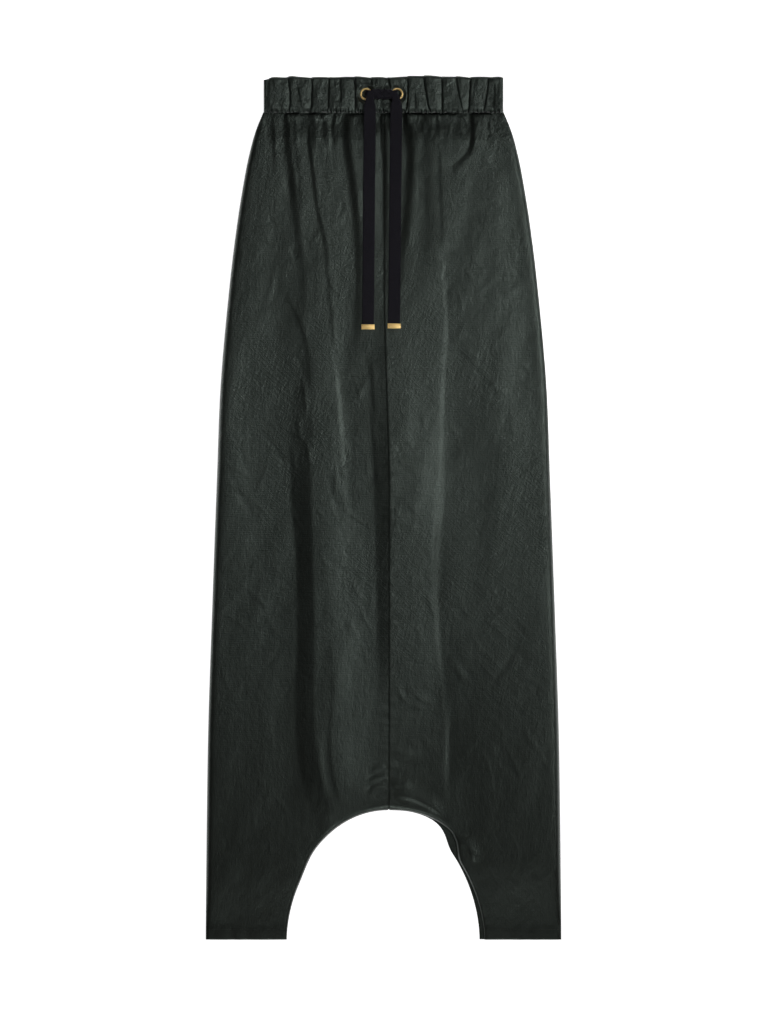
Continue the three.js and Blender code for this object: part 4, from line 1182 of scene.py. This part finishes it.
satinLook = {
    "deep": (0.0034, 0.0033, 0.0028, 1),
    "lit": (0.0070, 0.0076, 0.0066, 1),
    "warm": (0.0061, 0.0050, 0.0040, 1),
    # painted shade for the gathered waist and the band
    "shade": (0.0016, 0.0016, 0.0014, 1),
    "sheenTint": (0.62, 0.86, 0.76, 1),
    "shineTint": (0.82, 1.0, 0.9, 1),
    # noise over the cloth: scale, detail and roughness
    "textures": {
        "wander": ((6.0, 40.0, 6.0), 2.0, 0.5),
        "slubs": ((95.0, 520.0, 40.0), 3.0, 0.65),  # thick threads that run across
        "grain": ((520.0, 640.0, 300.0), 3.0, 0.7),
        "threads": ((430.0, 120.0, 60.0), 3.0, 0.65),  # the threads that run down
        "crush": ((85.0, 50.0, 40.0), 5.0, 0.66),
        "patches": ((9.0, 5.0, 9.0), 3.0, 0.55),
    },
    "slubDepth": 0.0003,
    "grainDepth": 0.0002,
    "threadDepth": 0.0003,
    "crushDepth": 0.0004,
    "bunchedDepth": 0.0011,
    "creaseSlants": (38.0, -42.0, 72.0),
    "creaseDepth": 0.00013,
    "ribPitch": 0.0024,  # crosswise ribs of the weave, in metres
    "ribDepth": 0.000035,
    "roughness": 0.385,
    "gatheredShine": 0.05,
    "shine": 0.62,
    "sheen": 0.02,
}


def crossingCreases(s, x, y, z):  # fine sharp creases along each slant
    hatch = None
    for slant in satinLook["creaseSlants"]:
        turn, lean = math.cos(math.radians(slant)), math.sin(math.radians(slant))
        run = x * turn + y * lean
        side = y * turn - x * lean
        spot = s.node("ShaderNodeCombineXYZ", X=run * 26.0 + slant * 0.37, Y=side * 230.0, Z=z * 20.0)
        texture = s.node("ShaderNodeTexNoise", Vector=spot, Scale=1.0, Detail=2.0, Roughness=0.6)
        sharp = ((texture - 0.5).maths("ABSOLUTE") * -9.0 + 1.0).clamped() ** 2.0
        hatch = sharp if hatch is None else hatch + sharp
    return hatch


def satinMaterial():
    s = Shader("darkSatin")
    at = s.place()
    x, y, z = s.axes(at)
    wander, slubs, grain, threads, crush, patches = (
        s.noise(at, *values) - 0.5 for values in satinLook["textures"].values())
    ribs = (y * (fullTurn / satinLook["ribPitch"]) + (wander + 0.5) * 9.0).sine()
    tone = (patches * 1.6 + crush * 0.9 + slubs * 0.55 + 0.5).clamped()
    colour = s.mix(tone, satinLook["deep"], satinLook["lit"])
    low = ((y * -1.0 - 0.12) * 2.6 + patches).clamped() * 0.9  # the lower legs are a warmer black
    colour = s.mix(low, colour, satinLook["warm"])
    gatherShineAndPaintedShade = ((y - 0.395) * 14.0 + crush * 2.0).clamped()  # painted shade: darker over the gathered waist and the band, standing in for the shade in the gathers
    # painted shade mixed into the base colour over the gathered waist and the band; the same mask also
    # lowers the roughness there
    colour = s.mix(gatherShineAndPaintedShade * 0.85, colour, satinLook["shade"])
    bunched = ((y - 0.43) * 22.0).clamped()
    worked = ((patches + 0.08) * 5.0).clamped()  # the crossing creases come in patches
    relief = ribs * 0.5 * satinLook["ribDepth"]
    relief = relief + slubs * satinLook["slubDepth"] + grain * satinLook["grainDepth"]
    relief = relief + crossingCreases(s, x, y, z) * worked * satinLook["creaseDepth"]
    calm = ((y + 0.34) * 4.0).clamped() * 0.75 + 0.25  # the lower legs lie smoother
    relief = relief * calm + crush * (bunched * satinLook["bunchedDepth"] + satinLook["crushDepth"])
    relief = relief + threads * satinLook["threadDepth"]
    rough = crush * 0.16 + slubs * 0.12 + satinLook["roughness"] - gatherShineAndPaintedShade * satinLook["gatheredShine"]
    return s.finish(
        Base_Color=colour, Roughness=rough, Normal=s.bump(relief), Sheen_Weight=satinLook["sheen"],
        Sheen_Roughness=0.42, Sheen_Tint=satinLook["sheenTint"], Specular_IOR_Level=satinLook["shine"],
        Specular_Tint=satinLook["shineTint"])


tapeLook = {
    "base": (0.0066, 0.0062, 0.0092, 1),
    "pale": (0.0165, 0.0155, 0.0212, 1),
    "pitch": 0.0011,
    "rowPitch": 0.0009,
    "roughness": 0.86,
}


def tapeMaterial():
    s = Shader("blackTape")
    across, length = s.axes(s.place("UV"))[:2]
    twill = ((across + length) * (fullTurn / tapeLook["pitch"])).sine()
    rows = (across * (fullTurn / tapeLook["rowPitch"])).sine()
    fluff = s.noise(s.place(), (900.0, 900.0, 900.0))
    tone = (twill * 0.22 + rows * 0.12 + (fluff - 0.5) * 1.1 + 0.42).clamped()
    colour = s.mix(tone, tapeLook["base"], tapeLook["pale"])
    relief = twill * 0.00004 + rows * 0.00003 + (fluff - 0.5) * 0.00008
    return s.finish(
        Base_Color=colour, Roughness=(fluff - 0.5) * 0.2 + tapeLook["roughness"], Normal=s.bump(relief),
        Sheen_Weight=0.03, Sheen_Roughness=0.5, Specular_IOR_Level=0.14)


goldLook = {"colour": (1.0, 0.70, 0.28, 1), "dark": (0.80, 0.48, 0.13, 1), "roughness": 0.3, "metal": 0.5}


def goldMaterial():
    s = Shader("paleGold")
    at = s.place()
    brushed = s.noise(at, (300.0, 2600.0, 2600.0), 2.0)
    worn = s.noise(at, (240.0, 240.0, 240.0), 4.0)
    colour = s.mix(((worn - 0.42) * 2.4).clamped() * 0.35, goldLook["colour"], goldLook["dark"])
    relief = (brushed - 0.5) * 0.00002 + (worn - 0.5) * 0.00003
    return s.finish(
        Base_Color=colour, Metallic=goldLook["metal"], Roughness=(worn - 0.5) * 0.2 + goldLook["roughness"],
        Normal=s.bump(relief))


threadLook = {"dark": (0.010, 0.012, 0.010, 1), "pale": (0.030, 0.036, 0.031, 1), "roughness": 0.55}


def threadMaterial():
    s = Shader("greenThread")
    twist = s.noise(s.place(), (2600.0, 700.0, 700.0), 2.0)
    colour = s.mix(twist, threadLook["dark"], threadLook["pale"])
    rough = (twist - 0.5) * 0.2 + threadLook["roughness"]
    return s.finish(Base_Color=colour, Roughness=rough, Sheen_Weight=0.2)


floorLook = {"dark": (0.86, 0.86, 0.86, 1), "pale": (0.89, 0.89, 0.89, 1), "glow": 0.9, "size": 120}


def floorMaterial():
    s = Shader("paleFloor")
    mottle = s.noise(s.place(), (3.0, 3.0, 3.0), 2.0)
    colour = s.mix(mottle, floorLook["dark"], floorLook["pale"])
    return s.finish(Base_Color=colour, Roughness=0.9, Specular_IOR_Level=0.1,
                    Emission_Color=(1, 1, 1, 1), Emission_Strength=floorLook["glow"])


def dress(piece, material):
    piece.data.materials.clear()
    piece.data.materials.append(material)


print("materials")
satin, tape, gold, thread = satinMaterial(), tapeMaterial(), goldMaterial(), threadMaterial()
for piece in cloth:
    dress(piece, satin)
for side in ("left", "right"):
    dress(tapes[side][0], tape)
    dress(rings[side], gold)
    dress(ends[side], gold)
    dress(hems[side], thread)

# Every piece rides on the one body and stands for its own solid.
replaced = {
    "front_left": frontLeft,
    "front_right": frontRight,
    "back_left": backLeft,
    "back_right": backRight,
    "waistband_front": bandFront,
    "waistband_back": bandBack,
    "eyelet_left": rings["left"],
    "eyelet_right": rings["right"],
    "drawstring_left": tapes["left"][0],
    "drawstring_right": tapes["right"][0],
    "drawstring_end_left": ends["left"],
    "drawstring_end_right": ends["right"],
}
for node, piece in replaced.items():
    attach(piece, "root")
    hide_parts(node)
for piece in hems.values():
    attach(piece, "root")

for side in ("left", "right"):
    piece, path, length = tapes[side]
    print("tape", side, round(length, 1))
    round(length * mm, 3)

bpy.ops.mesh.primitive_plane_add(size=floorLook["size"], location=(0, 0, -0.0004))
floor = bpy.context.active_object
floor.name = "floor"
dress(floor, floorMaterial())

# Area lights: place, what it looks at, size, watts and spread. The upper four rake the cloth from the right,
# and the low ones reach its sides.
middle, upperCloth = (0, 0, 0), (-0.1, 0.25, 0)
lights = {
    "headRight": ((0.73, -0.27, 2.9), upperCloth, (1.0, 1.0), 0.18, 26),
    "topRight": ((1.41, 0.0, 2.65), upperCloth, (1.0, 1.0), 0.58, 26),
    "keyRight": ((1.81, 0.66, 2.3), upperCloth, (1.0, 1.0), 0.78, 26),
    "head": ((0.39, 0.67, 2.9), upperCloth, (1.0, 1.0), 0.145, 26),
    "foot": ((0.0, -2.3, 1.93), middle, (1.0, 1.0), 16.8, 180),
    "fillLeft": ((-1.03, 0.0, 2.82), middle, (1.0, 1.0), 1.73, 180),
    "lowBack": ((0.0, 3.0, 1.3), middle, (2.4, 0.8), 6.0, 180),
    "lowLeft": ((-3.0, 0.0, 0.95), middle, (2.4, 0.6), 1.6, 180),
    "lowRight": ((3.0, 0.0, 0.95), middle, (2.4, 0.6), 3.4, 180),
}
for name, (place, towards, size, watts, spreadAngle) in lights.items():
    data = bpy.data.lights.new(name, "AREA")
    data.shape = "RECTANGLE"
    data.size, data.size_y = size
    data.energy = watts
    data.spread = math.radians(spreadAngle)
    data.color = (1.0, 0.99, 0.98)
    lamp = bpy.data.objects.new(name, data)
    lamp.location = place
    lamp.rotation_euler = (Vector(towards) - Vector(place)).to_track_quat("-Z", "Y").to_euler()
    bpy.context.scene.collection.objects.link(lamp)

world = bpy.data.worlds.new("studio")
world.use_nodes = True
background = world.node_tree.nodes["Background"]
background.inputs[0].default_value = (1, 1, 1, 1)
background.inputs[1].default_value = 0.03
bpy.context.scene.world = world
bpy.context.scene.view_settings.view_transform = "Standard"

print("pieces", len(replaced) + len(hems))
